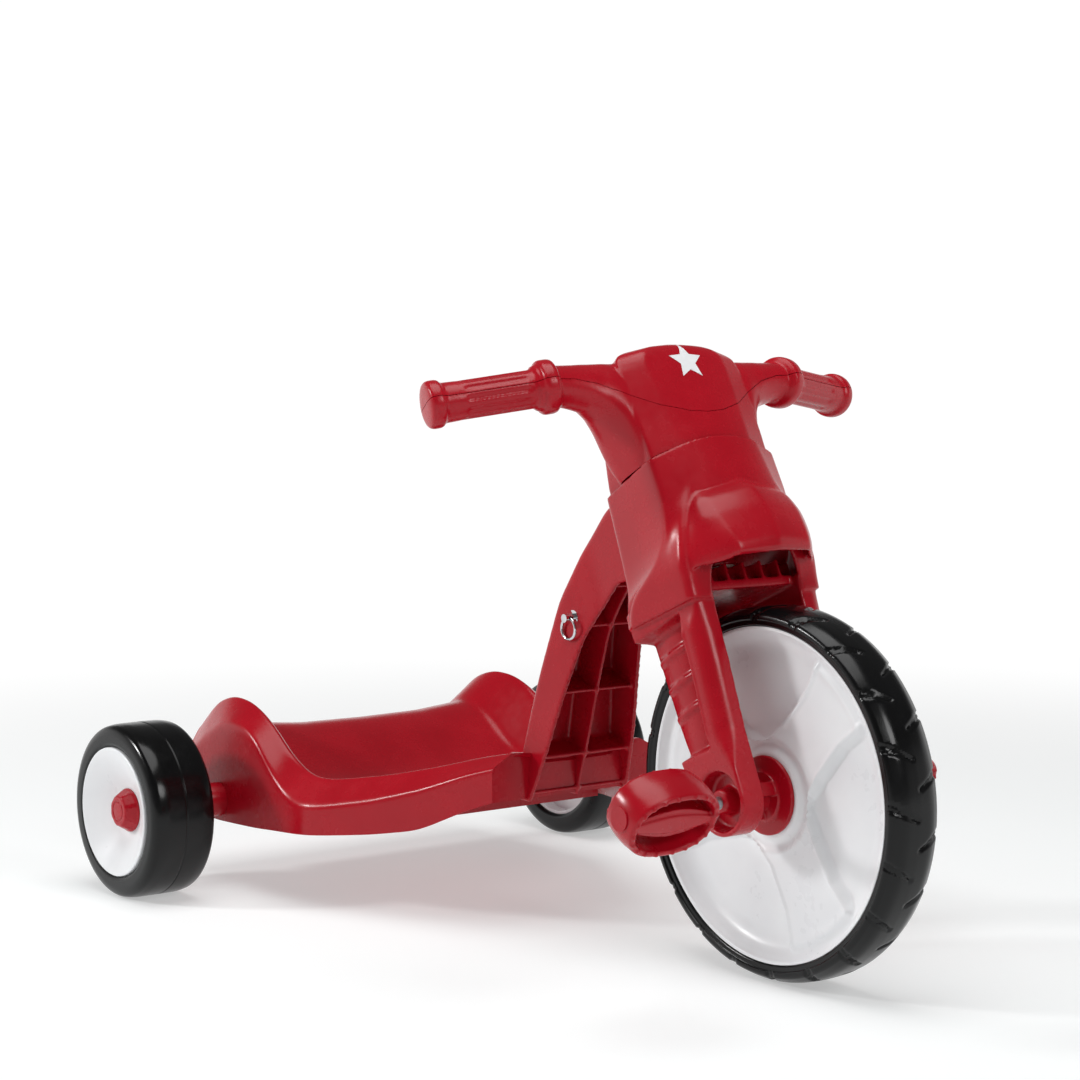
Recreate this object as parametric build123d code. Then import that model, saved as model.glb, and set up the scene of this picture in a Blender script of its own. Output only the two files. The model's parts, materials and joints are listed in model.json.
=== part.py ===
from build123d import *
import os
from math import atan2, cos, degrees, radians, sin

os.makedirs("parts", exist_ok=True)

# Children's low tricycle. Millimetres. X across (+X is the rider's left), -Y forwards, Z up from the floor.

# Overall sizes
front_wheel_r = 162.5
rear_wheel_r = 86.0
wheelbase = 637.0
outer_half_width = 308.7        # outer faces of the rear wheels
rake = radians(24.5)            # the steering axis leans back by this much
fork_offset = 10.0              # the front axle stands ahead of the steering axis

# Fits and walls
running_gap = 0.06              # round a shaft that turns
held_gap = 0.03                 # round a shaft or bush that stays put
moving_gap = 0.3                # between faces that slide past each other
wall = 4.0                      # moulded shells
rod_r = 4.75                    # the crank rod

# Front wheel
tyre_half_width = 27.0
crown_half_width = 15.0
tyre_height = 19.5
tyre_wall = 5.0
bead_height = 17.1              # from the disc's rim to the tread
disc_face_x = 20.0              # the hub face of each wheel half
disc_skin = 3.0
spool_r = 20.0
spool_flange_r = 34.5
spool_flange = 4.0

# Fork, in the steering frame: x across, y backwards from the axis, z up along it
fork_gap_half = 50.0            # between the legs
leg_width = 26.0
leg_end_r = 30.0
leg_web = 9.0                   # what stays of the leg behind its pocket
leg_flange = 15.0
leg_front_y = -48.0             # front edge of the leg at its top
leg_waist_y = -44.5             # and part way down
leg_waist_z = 113.0
crown_gap = 15.5                # from the tyre to the underside of the crown
leg_top = 22.0                  # heights from here on are above the crown's underside
crown_plate = 8.0
seam_height = 126.0             # where handlebar and fairing meet
nose_low = 17.0
nose_high = 88.0
nose_reach = 29.0               # the nose stands this far ahead of the fairing
nose_top_half = 46.0
fairing_front_y = -57.0
fairing_crease_y = -38.0
fairing_rear_y = 40.0
fairing_rear_half = 62.0

# Steering column and its bushes
column_r = 12.5
column_wall = 2.0
bush_wall = 3.5
bush_flange = 3.0
bush_collar = 4.0
bush_length = 22.0
head_bottom = 28.0              # ends of the head tube, above the crown's underside
head_top = 112.0
head_wall = 6.0
bolt_r = 3.0
bolt_head_r = 6.0

# Handlebar
dome_height = 234.0             # above the crown's underside
bar_height = 205.0              # of the bars at their collars
collar_x = 137.0
collar_y = -8.0
collar_r = 24.0
collar_width = 12.0
grip_r = 17.0
grip_length = 96.0
grip_sweep = radians(19.4)      # the grips point backwards by this much
cap_r = 21.0
cap_length = 13.0
bar_wall = 3.5
screw_reach = 34.0              # from the collar to a shell screw
screw_r = 1.8
screw_length = 22.0
screw_head_r = 3.4
screw_head = 2.4

# Crank and pedals
crank_throw = 70.0
crank_lift = radians(12.0)      # the right crank points forwards and this far up
crank_leg_gap = 6.0             # from the leg to the first bend
crank_arm = 55.0                # from the first bend to the second, across
crank_bend_r = 10.0
pedal_gap = 11.0                # from the second bend to the pedal
pedal_length = 92.0
pedal_width = 66.0
pedal_height = 36.0
pedal_rim = 8.0
pedal_web = 26.0
pedal_tilt = radians(120.0)
pedal_pocket = 10.0             # depth of the hole for nut and cap
pedal_nut_length = 4.0
pedal_cap_length = 3.0

# Seat body
wheel_gap = 50.6                # from the seat's side to the rear tyre
seat_front_half = 100.0
seat_front_back = 290.25        # seat's front, behind the front axle
corner_ahead = 156.75           # where the sides turn straight, ahead of the rear axle
seat_overhang = 75.25           # behind the rear axle
rail_slope = 24.0               # the rail's sloping band, across
pan_slope = 30.0                # from the rail down to the pan, across
saddle_x = 110.0                # webs that carry the axle
axle_boss_r = 17.0
axle_boss_gap = 9.0             # from the axle bosses to the line of the tyre's inner face

# Neck
neck_margin = 11.5              # from the column to the neck's sides
neck_foot_half = 56.0
neck_rib = 3.0
neck_back = 304.25              # back of the neck's foot, behind the front axle
neck_depth = 18.0               # of its closed foot
neck_foot_z = 118.0
neck_turn = 42.0                # the back starts to lean this far above the foot
riser_half = 12.0
pin_face_half = 32.0            # half the neck's width where the lock pin goes through
pin_r = 4.0
pin_back = 164.0                # the lock pin, behind the steering axis
pin_height = 45.9               # and above the crown's underside, along it
pin_head_r = 7.0
pin_head = 3.0
pin_stub = 11.0
ring_r = 10.0
ring_wire_r = 1.4

# Rear wheels and axle
rear_tyre_width = 68.8
rear_bead_r = 63.7
rear_disc_dish = 19.0
rear_disc_skin = 3.0
axle_r = 6.0
hub_r = 15.0
hub_cap_base_r = 22.0
hub_cap_face_r = 15.0
hub_cap_length = 13.0
nut_r = 10.0
nut_length = 4.0

# Derived places
bead_r = front_wheel_r - bead_height
total_length = front_wheel_r + wheelbase + rear_wheel_r
front_axle_y = front_wheel_r - total_length / 2
rear_axle_y = front_axle_y + wheelbase
steer_y = front_axle_y + fork_offset * cos(rake)
steer_z = front_wheel_r - fork_offset * sin(rake)
steering = Plane(origin=(0, steer_y, steer_z), x_dir=(1, 0, 0), z_dir=(0, sin(rake), cos(rake)))
axle_local_y = -fork_offset
rear_tyre_outer = outer_half_width - 1.3
rear_tyre_inner = rear_tyre_outer - rear_tyre_width
grip_dir = Vector(cos(grip_sweep), sin(grip_sweep), 0)
crown_z = front_wheel_r + crown_gap
leg_top_z = crown_z + leg_top
seam_z = crown_z + seam_height
head_bottom_z = crown_z + head_bottom
head_top_z = crown_z + head_top
dome_top_z = crown_z + dome_height
bar_z = crown_z + bar_height
leg_outer = fork_gap_half + leg_width
fairing_half_width = leg_outer - 8.0
crank_bend_in = leg_outer + crank_leg_gap
crank_bend_out = crank_bend_in + crank_arm
pedal_inner = crank_bend_out + pedal_gap
pedal_outer = pedal_inner + pedal_length
crank_end = pedal_outer - pedal_cap_length - 1.5
seat_half_width = rear_tyre_inner - wheel_gap
axle_boss_x = rear_tyre_inner - axle_boss_gap
seat_front_y = front_axle_y + seat_front_back
seat_corner_y = rear_axle_y - corner_ahead
seat_rear_y = rear_axle_y + seat_overhang
neck_back_y = front_axle_y + neck_back
neck_half_width = column_r + neck_margin
sides = {"right": -1, "left": 1}


def save(node, *solids):
    export_step(Compound(children=list(solids)) if len(solids) > 1 else solids[0], f"parts/{node}.step")


def steered(shape):
    """Place a shape drawn in the steering frame into the tricycle's frame."""
    return steering.location * shape


def along_axis(y, z):
    """A point of the steering frame's middle plane, in the tricycle's frame."""
    return steer_y + y * cos(rake) + z * sin(rake), steer_z - y * sin(rake) + z * cos(rake)


pin_y, pin_z = along_axis(pin_back, crown_z + pin_height)


def round_x(r, x0, x1, y, z):
    """A cylinder along X."""
    return Pos((x0 + x1) / 2, y, z) * Rot(0, 90, 0) * Cylinder(r, abs(x1 - x0))


def spun_x(points, y, z, side=1):
    """Spin an outline of (radius, x) points about an axis along X."""
    outline = Plane.XY * make_face(Polyline(*[(side * x, r) for r, x in points], close=True))
    return Pos(0, y, z) * revolve(outline, Axis.X)


def side_slab(points, x0, x1):
    """An outline of (y, z) points, carried across from x0 to x1."""
    face = make_face(Polyline(*[(0, y, z) for y, z in points], close=True))
    return Pos(x0, 0, 0) * extrude(face, x1 - x0, (1, 0, 0))


def front_slab(points, y0, y1):
    """An outline of (x, z) points, carried back from y0 to y1."""
    face = make_face(Polyline(*[(x, 0, z) for x, z in points], close=True))
    return Pos(0, y0, 0) * extrude(face, y1 - y0, (0, 1, 0))


def mirrored_x(points):
    """Close a right-hand outline of (x, z) points with its mirror image."""
    return points + [(-x, z) for x, z in reversed(points) if x]


# Front wheel

def front_tyre():
    crown_r = front_wheel_r
    inner_r = crown_r - tyre_height
    inside_x = tyre_half_width - tyre_wall
    half = [
        (crown_r - tyre_wall, crown_half_width - 4.0), (bead_r + 8.0, inside_x), (bead_r + 3.0, inside_x),
        (inner_r, disc_face_x - tyre_wall), (inner_r, disc_face_x), (bead_r, disc_face_x + 3.0),
        (bead_r + 4.0, tyre_half_width - 0.6), (bead_r + 9.0, tyre_half_width),
        (crown_r - 3.5, tyre_half_width - 5.0), (crown_r - 0.8, crown_half_width + 3.0),
        (crown_r, crown_half_width - 2.0),
    ]
    return spun_x(half + [(r, -x) for r, x in reversed(half)], front_axle_y, front_wheel_r)


def front_disc(side):
    rim_r = front_wheel_r - tyre_height
    dish = disc_face_x - 7.0
    outer = [
        (rod_r + running_gap, disc_face_x), (spool_flange_r + 2.0, disc_face_x),
        (spool_flange_r + 14.0, dish),
        (bead_r - 26.0, dish), (bead_r - 9.0, dish + 4.0), (bead_r - 0.3, disc_face_x + 4.0),
        (bead_r - 0.3, disc_face_x + 2.8), (rim_r, disc_face_x), (rim_r, 0),
    ]
    inner = [
        (rim_r - disc_skin, 0), (rim_r - disc_skin, dish + 1.5), (bead_r - 12.0, dish + 1.0),
        (bead_r - 26.0, dish - disc_skin), (spool_flange_r + 14.0, dish - disc_skin),
        (spool_flange_r + 2.0, disc_face_x - disc_skin), (hub_r, disc_face_x - disc_skin), (hub_r, 0),
        (rod_r + running_gap, 0),
    ]
    return spun_x(outer + inner, front_axle_y, front_wheel_r, side)


def drive_spool(side):
    bore = rod_r + running_gap
    end = fork_gap_half - moving_gap
    flange_x = disc_face_x + spool_flange
    outline = [
        (bore, disc_face_x), (spool_flange_r, disc_face_x), (spool_flange_r, flange_x),
        (spool_r, flange_x + 1.0), (spool_r, end - 3.0), (spool_r - 3.0, end), (bore, end),
    ]
    return spun_x(outline, front_axle_y, front_wheel_r, side)


def crank_tip(side):
    """Centre line of one pedal spindle, as (y, z)."""
    reach = side * crank_throw
    return front_axle_y + reach * cos(crank_lift), front_wheel_r - reach * sin(crank_lift)


def crank_rod():
    route = []
    for side in (-1, 1):
        y, z = crank_tip(side)
        arm = [(side * crank_end, y, z), (side * crank_bend_out, y, z),
               (side * crank_bend_in, front_axle_y, front_wheel_r)]
        route += arm if side < 0 else reversed(arm)
    path = FilletPolyline(*route, radius=crank_bend_r)
    return sweep(Plane(origin=path @ 0, z_dir=path % 0) * Circle(rod_r), path)


def pedal(side):
    """Oval rim with a web across, bored for the spindle and hollowed at the outer end for nut and cap."""
    y, z = crank_tip(side)
    middle = side * (pedal_inner + pedal_length / 2)
    outer = Ellipse(pedal_length / 2, pedal_width / 2)
    inner = Ellipse(pedal_length / 2 - pedal_rim, pedal_width / 2 - pedal_rim)
    rim = extrude(outer - inner, pedal_height / 2, both=True)
    web = extrude(outer & Rectangle(pedal_length, pedal_web), pedal_height / 2 - 4.0, both=True)
    place = Pos(middle, y, z) * Rot(degrees(pedal_tilt), 0, 0)
    body = place * (rim + web)
    body -= round_x(rod_r + running_gap, side * (pedal_inner - 1.0), side * (pedal_outer + 1.0), y, z)
    return body - round_x(nut_r, side * (pedal_outer - pedal_pocket), side * (pedal_outer + 1.0), y, z)


def pedal_nut(side):
    """Push-on nut that keeps the pedal on its spindle."""
    y, z = crank_tip(side)
    start = pedal_outer - pedal_pocket + moving_gap
    bore = rod_r + held_gap
    outline = [(bore, start), (nut_r - 1.0, start), (nut_r - 2.0, start + pedal_nut_length - 1.0),
               (nut_r - 3.0, start + pedal_nut_length), (bore, start + pedal_nut_length)]
    return spun_x(outline, y, z, side)


def pedal_cap(side):
    """Plug over the nut, flush with the pedal's end."""
    y, z = crank_tip(side)
    edge = nut_r - held_gap
    low, high = pedal_outer - pedal_cap_length, pedal_outer
    return round_x(edge, side * low, side * high, y, z)


def pedal_washer(side):
    y, z = crank_tip(side)
    end = pedal_inner - moving_gap
    ring = round_x(rod_r + 4.5, side * (end - 1.5), side * end, y, z)
    return ring - round_x(rod_r + held_gap, 0, side * end * 2, y, z)


# Fork, drawn in the steering frame

def leg_outline():
    """The leg from the side, as (y, z): straight front edge, back edge tapering to the round end."""
    return [
        (leg_front_y, leg_top_z), (leg_waist_y, leg_waist_z), (-leg_end_r - fork_offset, 0),
        (leg_end_r - fork_offset, 0), (fairing_rear_y - 3.0, leg_waist_z - 5.0),
        (fairing_rear_y + 1.0, leg_top_z),
    ]


def leg_pocket():
    """The pocket in the leg's outer face, open to the back."""
    top, back = leg_top_z - 38.0, fairing_rear_y + 9.0
    return [
        (leg_front_y + leg_flange, top), (leg_waist_y + leg_flange, leg_waist_z), (2.0 - leg_end_r, 34.0),
        (0, 34.0), (fairing_rear_y, leg_waist_z - 13.0), (back, leg_waist_z - 13.0), (back, top),
    ]


def leg(side):
    inner, outer = fork_gap_half, leg_outer
    body = side_slab(leg_outline(), side * inner, side * outer)
    body += round_x(leg_end_r, side * inner, side * (outer - 2.0), axle_local_y, 0)
    body -= side_slab(leg_pocket(), side * (inner + leg_web), side * (outer + 1.0))
    front, back = 2.0 - leg_end_r, fairing_rear_y - 8.0
    for low in (leg_top_z - 72.0, leg_top_z - 106.0):
        rib = [(front, low), (back, low), (back, low + 8.0), (front, low + 8.0)]
        body += side_slab(rib, side * (inner + leg_web), side * (outer - 8.0))
    bore = rod_r + bush_wall + held_gap
    return body - round_x(bore, side * (inner - 1.0), side * (outer + 1.0), axle_local_y, 0)


def head_section(z, half, crease_y, front_y, rear_half, rear_y, inset=0.0):
    """A slice of the head shell: bowed front, flat sides, straight back."""
    plane = Plane(origin=(0, 0, z))
    half, rear_half = half - inset, rear_half - inset
    crease_y, front_y, rear_y = crease_y + inset, front_y + inset, rear_y - inset
    outline = [
        ThreePointArc((-half, crease_y), (0, front_y), (half, crease_y)),
        Line((half, crease_y), (rear_half, rear_y)),
        Line((rear_half, rear_y), (-rear_half, rear_y)),
        Line((-rear_half, rear_y), (-half, crease_y)),
    ]
    return plane * make_face(outline)


def fairing():
    def block(z0, z1, inset, rear_extra=0.0):
        rear = fairing_rear_y + rear_extra
        low = head_section(z0, leg_outer, fairing_crease_y, fairing_front_y, leg_outer - 4.0, rear, inset)
        high = head_section(z1, fairing_half_width, fairing_crease_y, fairing_front_y, fairing_rear_half,
                            rear, inset)
        return loft([low, high], ruled=True)

    return block(crown_z, seam_z, 0.0) - block(crown_z + crown_plate, seam_z + 1.0, wall, 3 * wall)


def nose():
    def bump(inset):
        back = fairing_front_y + 22.0
        low = head_section(crown_z + nose_low - inset, leg_outer - 2.5, fairing_crease_y,
                           fairing_front_y - nose_reach, leg_outer - 16.0, back, inset)
        high = head_section(crown_z + nose_high - inset, nose_top_half, fairing_front_y + 6.0,
                            fairing_front_y - 3.0, nose_top_half - 6.0, back, inset)
        return loft([low, high], ruled=True)

    return bump(0.0) - bump(wall)


def fork():
    boss_top = head_bottom_z - bush_flange - moving_gap
    body = fairing() + nose()
    body += leg(-1) + leg(1)
    body += Pos(0, 0, (crown_z + boss_top) / 2) * Cylinder(column_r + 8.0, boss_top - crown_z)
    socket = boss_top - crown_z - 1.0
    body -= Pos(0, 0, crown_z + 2.0 + socket / 2) * Cylinder(column_r + held_gap, socket)
    body -= round_x(bolt_r + held_gap, -column_r - 9.0, column_r + 9.0, 0, crown_bolt_z())
    return steered(body)


def crown_bolt_z():
    return crown_z + crown_plate + bolt_head_r + 1.0


def stem_bolt_z():
    return seam_z + 16.0


def column():
    bottom, top = crown_z + 2.0, seam_z + 40.0
    tube = Pos(0, 0, (bottom + top) / 2) * (Cylinder(column_r, top - bottom)
                                           - Cylinder(column_r - column_wall, top - bottom))
    for z in (crown_bolt_z(), stem_bolt_z()):
        tube -= round_x(bolt_r + held_gap, -column_r - 1.0, column_r + 1.0, 0, z)
    return steered(tube)


def cross_bolt(z, grip_half):
    """A bolt across the column, from head to nut, at height z in the steering frame."""
    shank = round_x(bolt_r, -grip_half, grip_half + 5.5, 0, z)
    head = round_x(bolt_head_r, -grip_half - 4.0, -grip_half, 0, z)
    return steered(shank + head)


def cross_nut(z, grip_half):
    hexagon = extrude(RegularPolygon(bolt_head_r, 6), 5.0)
    nut = Pos(grip_half, 0, z) * Rot(0, 90, 0) * hexagon
    return steered(nut - round_x(bolt_r + held_gap, grip_half - 1.0, grip_half + 7.0, 0, z))


def head_bush(low):
    """Flanged bush in one end of the head tube."""
    outer = column_r + running_gap + bush_wall
    z0, z1 = (head_bottom_z, head_bottom_z + bush_length) if low else (head_top_z - bush_length, head_top_z)
    flange_z = head_bottom_z - bush_flange / 2 if low else head_top_z + bush_flange / 2
    body = Pos(0, 0, (z0 + z1) / 2) * Cylinder(outer, bush_length)
    body += Pos(0, 0, flange_z) * Cylinder(outer + bush_collar, bush_flange)
    middle = (head_bottom_z + head_top_z) / 2
    bore = Cylinder(column_r + running_gap, 2 * (head_top_z - head_bottom_z))
    return steered(body - Pos(0, 0, middle) * bore)


def fork_bush(side):
    place_y, place_z = front_axle_y, front_wheel_r
    outer, inner = rod_r + bush_wall, rod_r + running_gap
    x0, x1 = side * fork_gap_half, side * (leg_outer - 2.0)
    return round_x(outer, x0, x1, place_y, place_z) - round_x(inner, x0 * 0.9, x1 * 1.1, place_y, place_z)


# Handlebar, drawn in the steering frame

def bar(side, slim=0.0):
    """One side of the bar: flaring root, collar, grip and end cap; slim makes the hollow inside."""
    start = Vector(side * collar_x, collar_y, bar_z)
    way = Vector(side * grip_dir.X, grip_dir.Y, 0)
    across = Plane(origin=start, z_dir=way)
    root = (side * (fairing_half_width - 18.0), collar_y - 6.0, bar_z - 11.0)
    root_plane = Plane(origin=root, z_dir=(side, 0, 0))
    flare = loft([root_plane * Circle(30.0 - slim), across * Circle(grip_r + 2.0 - slim)], ruled=True)
    inside = grip_length + cap_length - (bar_wall if slim else 0)
    body = flare + across.location * Pos(0, 0, inside / 2) * Cylinder(grip_r - slim, inside)
    if not slim:
        body += across.location * Cylinder(collar_r, collar_width)
        body += across.location * Pos(0, 0, grip_length + cap_length / 2) * Cylinder(cap_r, cap_length)
    return body


def head_dome(inset):
    half, crease_y, front_y = fairing_half_width, fairing_crease_y, fairing_front_y
    stations = [
        (seam_z - (1.0 if inset else 0.0), half, crease_y, front_y, fairing_rear_half, fairing_rear_y),
        (seam_z + 60.0, half + 2.0, crease_y + 3.0, front_y + 9.0, 54.0, 34.0),
        (dome_top_z - 8.0 - inset, half, crease_y + 8.0, front_y + 13.0, 50.0, 24.0),
        (dome_top_z - inset, half - 16.0, crease_y + 13.0, front_y + 17.0, 38.0, 16.0),
    ]
    return loft([head_section(*station, inset) for station in stations], ruled=True)


def handlebar():
    """Both shells of the handlebar together, hollow."""
    solid = head_dome(0.0) + bar(-1) + bar(1)
    hollow = head_dome(wall) + bar(-1, bar_wall) + bar(1, bar_wall)
    shell = solid - hollow
    socket_bottom = head_top_z + bush_flange + moving_gap
    socket_top = seam_z + 30.0
    middle = (socket_bottom + socket_top) / 2
    shell += Pos(0, 0, middle) * Cylinder(column_r + 6.0, socket_top - socket_bottom)
    shell += Pos(0, 0, stem_bolt_z()) * Box(2 * fairing_half_width - 5.0, wall, 28.0)
    shell -= Pos(0, 0, seam_z) * Cylinder(column_r + held_gap, 120.0)
    for x, y in screw_places():
        shell += (Pos(x, y, bar_z) * Cylinder(screw_head_r + 1.5, 4 * grip_r)) & solid
        shell -= Pos(x, y, screw_seat_z() - grip_r) * Cylinder(screw_head_r + 0.5, 2 * grip_r)
        shell -= screw(x, y, held_gap)
    return shell - stem_bolt_hole()


def stem_bolt_hole():
    reach = fairing_half_width + 10.0
    tunnel = round_x(bolt_r + held_gap, -reach, reach, 0, stem_bolt_z())
    for side in (-1, 1):
        tunnel += round_x(bolt_head_r + 1.0, side * (column_r + 6.0), side * reach, 0, stem_bolt_z())
    return tunnel


def upper_region():
    """The space above the parting line, which dips from the bars to the middle of the head."""
    top = dome_top_z + 60.0
    reach = collar_x + 2 * grip_length
    outline = [(0, bar_z - 44.0), (fairing_half_width + 2.0, bar_z - 18.0), (collar_x - 30.0, bar_z),
               (reach, bar_z), (reach, top), (0, top)]
    return front_slab(mirrored_x(outline), -reach, reach)


def screw_places():
    """Where the shells are screwed together: at each bar's root and in the middle of each grip."""
    for side in (-1, 1):
        for reach in (-screw_reach, screw_reach):
            yield side * (collar_x + reach * cos(grip_sweep)), collar_y + max(reach, 0) * sin(grip_sweep)


def screw_seat_z():
    """Where the screw heads bear, sunk into the lower shell."""
    return bar_z - grip_r + 4.0


def screw(x, y, gap=0.0):
    shank = Pos(x, y, screw_seat_z() + screw_length / 2) * Cylinder(screw_r + gap, screw_length + 2 * gap)
    return shank + Pos(x, y, screw_seat_z() - screw_head / 2) * Cylinder(screw_head_r, screw_head)


def shell_screws():
    return [steered(screw(x, y)) for x, y in screw_places()]


# Neck and seat

def neck_outline(inset):
    """The neck from the side; an inset one is open towards the front and the foot."""
    front = -40.0 if inset else 0.0
    axis_y = column_r + 22.0 if inset else 0.0
    low_rise = 8.0 if inset else 0.0
    shoulder_y, shoulder_z = along_axis(85.4, crown_z + 122.1)
    back_y, back_z = along_axis(176.0, crown_z + 66.7)
    throat_y, throat_z = along_axis(100.9, crown_z + 56.6)
    front_y, front_z = along_axis(157.9, crown_z + 23.3)
    return [
        along_axis(axis_y, head_top_z - inset), (shoulder_y - inset, shoulder_z - inset),
        (back_y - inset, back_z), (neck_back_y - inset, neck_foot_z + neck_turn),
        (neck_back_y - inset, neck_foot_z), (neck_back_y - neck_depth + front, neck_foot_z),
        (front_y + front, front_z), (throat_y + front / 2, throat_z + low_rise / 2),
        along_axis(axis_y, head_bottom_z + low_rise),
    ]


def neck_widths(inset):
    foot_z = neck_foot_z - (1.0 if inset else 0.0)
    return mirrored_x([
        (neck_half_width - inset, 2 * pin_z), (neck_half_width - inset, pin_z + 42.0),
        (pin_face_half - inset, pin_z - 2.0), (neck_foot_half - 10.0 - inset, neck_foot_z + 82.0),
        (neck_foot_half - inset, foot_z),
    ])


def front_frame():
    reach = 2 * neck_foot_half
    outer = side_slab(neck_outline(0.0), -reach, reach) & front_slab(neck_widths(0.0), -300.0, 300.0)
    inner = side_slab(neck_outline(wall), -reach, reach) & front_slab(neck_widths(wall), -300.0, 300.0)
    body = outer - inner
    for share in (0.27, 0.57, 0.86):
        z = neck_foot_z + share * (pin_z - neck_foot_z)
        rib = Pos(0, neck_back_y - 34.0, z) * Rot(-25, 0, 0) * Box(2 * reach, 90.0, neck_rib)
        body += rib & outer & front_space()
    length = head_top_z - head_bottom_z
    middle = (head_bottom_z + head_top_z) / 2
    bore = column_r + running_gap + bush_wall + held_gap
    body += steered(Pos(0, 0, middle) * Cylinder(bore + head_wall, length))
    body -= steered(Pos(0, 0, middle) * Cylinder(bore, length + 40.0))
    room = bore + bush_collar + 1.0
    for z in (head_top_z + 20.0, head_bottom_z - 20.0):
        body -= steered(Pos(0, 0, z) * Cylinder(room, 40.0))
    body -= riser_space(moving_gap)
    for side in (-1, 1):
        body -= round_x(pin_head_r + 1.0, side * pin_face_half, side * 2 * pin_face_half, pin_y, pin_z)
    return body - round_x(pin_r + running_gap, -reach, reach, pin_y, pin_z)


def front_space():
    """The part of the neck ahead of the riser, where its ribs are."""
    low = (neck_back_y - 22.0, neck_foot_z - neck_depth)
    high = (pin_y - 1.0, pin_z - 32.0)
    outline = [(-300.0, 0.0), low, high, (-300.0, high[1])]
    return side_slab(outline, -2 * neck_foot_half, 2 * neck_foot_half)


def riser_outline(gap):
    """The seat's tongue that goes up inside the neck, from the side."""
    back = neck_back_y - wall - 0.5 + gap
    front = neck_back_y - 24.0 - gap
    return [
        (pin_y - 7.0 - gap, pin_z + 12.0 + gap), (pin_y - 13.0 - gap, pin_z - 8.0),
        (pin_y + 3.0 - gap, pin_z - 54.0),
        (front, neck_foot_z + 12.0), (front, neck_foot_z - 10.0), (back, neck_foot_z - 10.0),
        (back, neck_foot_z + neck_turn), (pin_y + 15.0 + gap, pin_z + 12.0 + gap),
    ]


def riser_space(gap):
    return side_slab(riser_outline(gap), -riser_half - gap, riser_half + gap)


def seat_stations():
    """Slices of the seat: y, half width, bottom, side crease, rail top, pan."""
    front_part = seat_corner_y - seat_front_y
    rear_part = seat_rear_y - seat_corner_y
    heights = [
        (0.0, 122.0, 154.0, 168.0, 160.0),
        (0.137, 112.0, 146.0, 163.0, 146.0),
        (0.379, 89.0, 128.0, 150.0, 120.0),
        (0.642, 80.0, 113.0, 138.0, 106.0),
        (1.0, 73.0, 101.0, 128.0, 100.0),
        (1.116, 71.0, 104.0, 130.0, 100.0),
        (1.25, 69.0, 124.0, 145.0, 103.0),
        (1.353, 67.0, 149.0, 165.0, 109.0),
        (1.453, 66.0, 162.0, 179.0, 122.0),
        (1.569, 65.0, 166.0, 188.0, 140.0),
        (1.707, 64.0, 157.0, 191.0, 155.0),
        (1.845, 66.0, 138.0, 185.0, 151.0),
        (2.0, 74.0, 113.0, 158.0, 130.0),
    ]
    for share, *rest in heights:
        y = seat_front_y + front_part * min(share, 1.0) + rear_part * max(share - 1.0, 0.0)
        half = seat_front_half + (seat_half_width - seat_front_half) * min(share, 1.0)
        yield y, half, *rest


def seat_slice(station, inset):
    y, half, bottom, crease, rail, pan = station
    points = [(half, bottom), (half, crease), (half - rail_slope, rail), (half - rail_slope - pan_slope, pan)]
    if inset:
        middle = (0, pan)
        points = [(half - inset, bottom - 2.0)] + [
            mitred(*three, inset) for three in zip(points, points[1:], points[2:] + [middle])]
    return make_face(Polyline(*[(x, y, z) for x, z in mirrored_x(points)], close=True))


def mitred(before, corner, after, inset):
    """Move a corner of an outline inwards so that both its sides move by the inset."""
    into = (Vector(*corner) - Vector(*before)).normalized()
    out = (Vector(*after) - Vector(*corner)).normalized()
    left_in, left_out = Vector(-into.Y, into.X), Vector(-out.Y, out.X)
    both = left_in + left_out
    moved = Vector(*corner) + both * (inset / (1 + left_in.dot(left_out)))
    return moved.X, moved.Y


def seat_loft(inset):
    stations = list(seat_stations())
    if inset:
        front, rear = stations[0], stations[-1]
        stations = [(front[0] + inset, *front[1:])] + stations[1:-1] + [(rear[0] - inset, *rear[1:])]
    return loft([seat_slice(station, inset) for station in stations], ruled=True)


def seat_body():
    outer = seat_loft(0.0)
    body = outer - seat_loft(wall)
    across = 2 * seat_half_width
    for x in (-saddle_x, saddle_x):
        body += outer & Pos(x, rear_axle_y, 100.0) * Box(wall, 110.0, 240.0)
    for y in (seat_corner_y - 60.0, seat_corner_y + 60.0):
        body += outer & Pos(0, y, 100.0) * Box(across, wall, 240.0)
    slot_front, slot_back = seat_front_y - 30.0, neck_back_y + moving_gap
    body += outer & Pos(0, slot_back + wall / 2, 100.0) * Box(across, wall, 240.0)
    low, high = neck_foot_z - 30.0, neck_foot_z + 62.0
    slot = [(slot_front, low), (slot_back, low), (slot_back, high), (slot_front, high)]
    body -= side_slab(slot, -neck_foot_half - moving_gap, neck_foot_half + moving_gap)
    body += riser() + riser_foot(slot_back)
    for side in (-1, 1):
        low, high = side * (seat_half_width - wall), side * axle_boss_x
        body += round_x(axle_boss_r, low, high, rear_axle_y, rear_wheel_r)
    bore = axle_r + bush_wall + held_gap
    return body - round_x(bore, -axle_boss_x - 1.0, axle_boss_x + 1.0, rear_axle_y, rear_wheel_r)


def riser_foot(slot_back):
    """Joins the riser to the seat, under the foot of the neck."""
    low, high = neck_foot_z - 14.0, neck_foot_z - 2 * moving_gap
    front, back = neck_back_y - 24.0, slot_back + 30.0
    outline = [(front, high), (front, low), (back, low), (back, high + 14.0), (slot_back, high + 14.0),
               (slot_back, high)]
    return side_slab(outline, -riser_half, riser_half)


def riser():
    solid = side_slab(riser_outline(0.0), -riser_half, riser_half)
    return solid - round_x(pin_r + running_gap, -2 * riser_half, 2 * riser_half, pin_y, pin_z)


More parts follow.
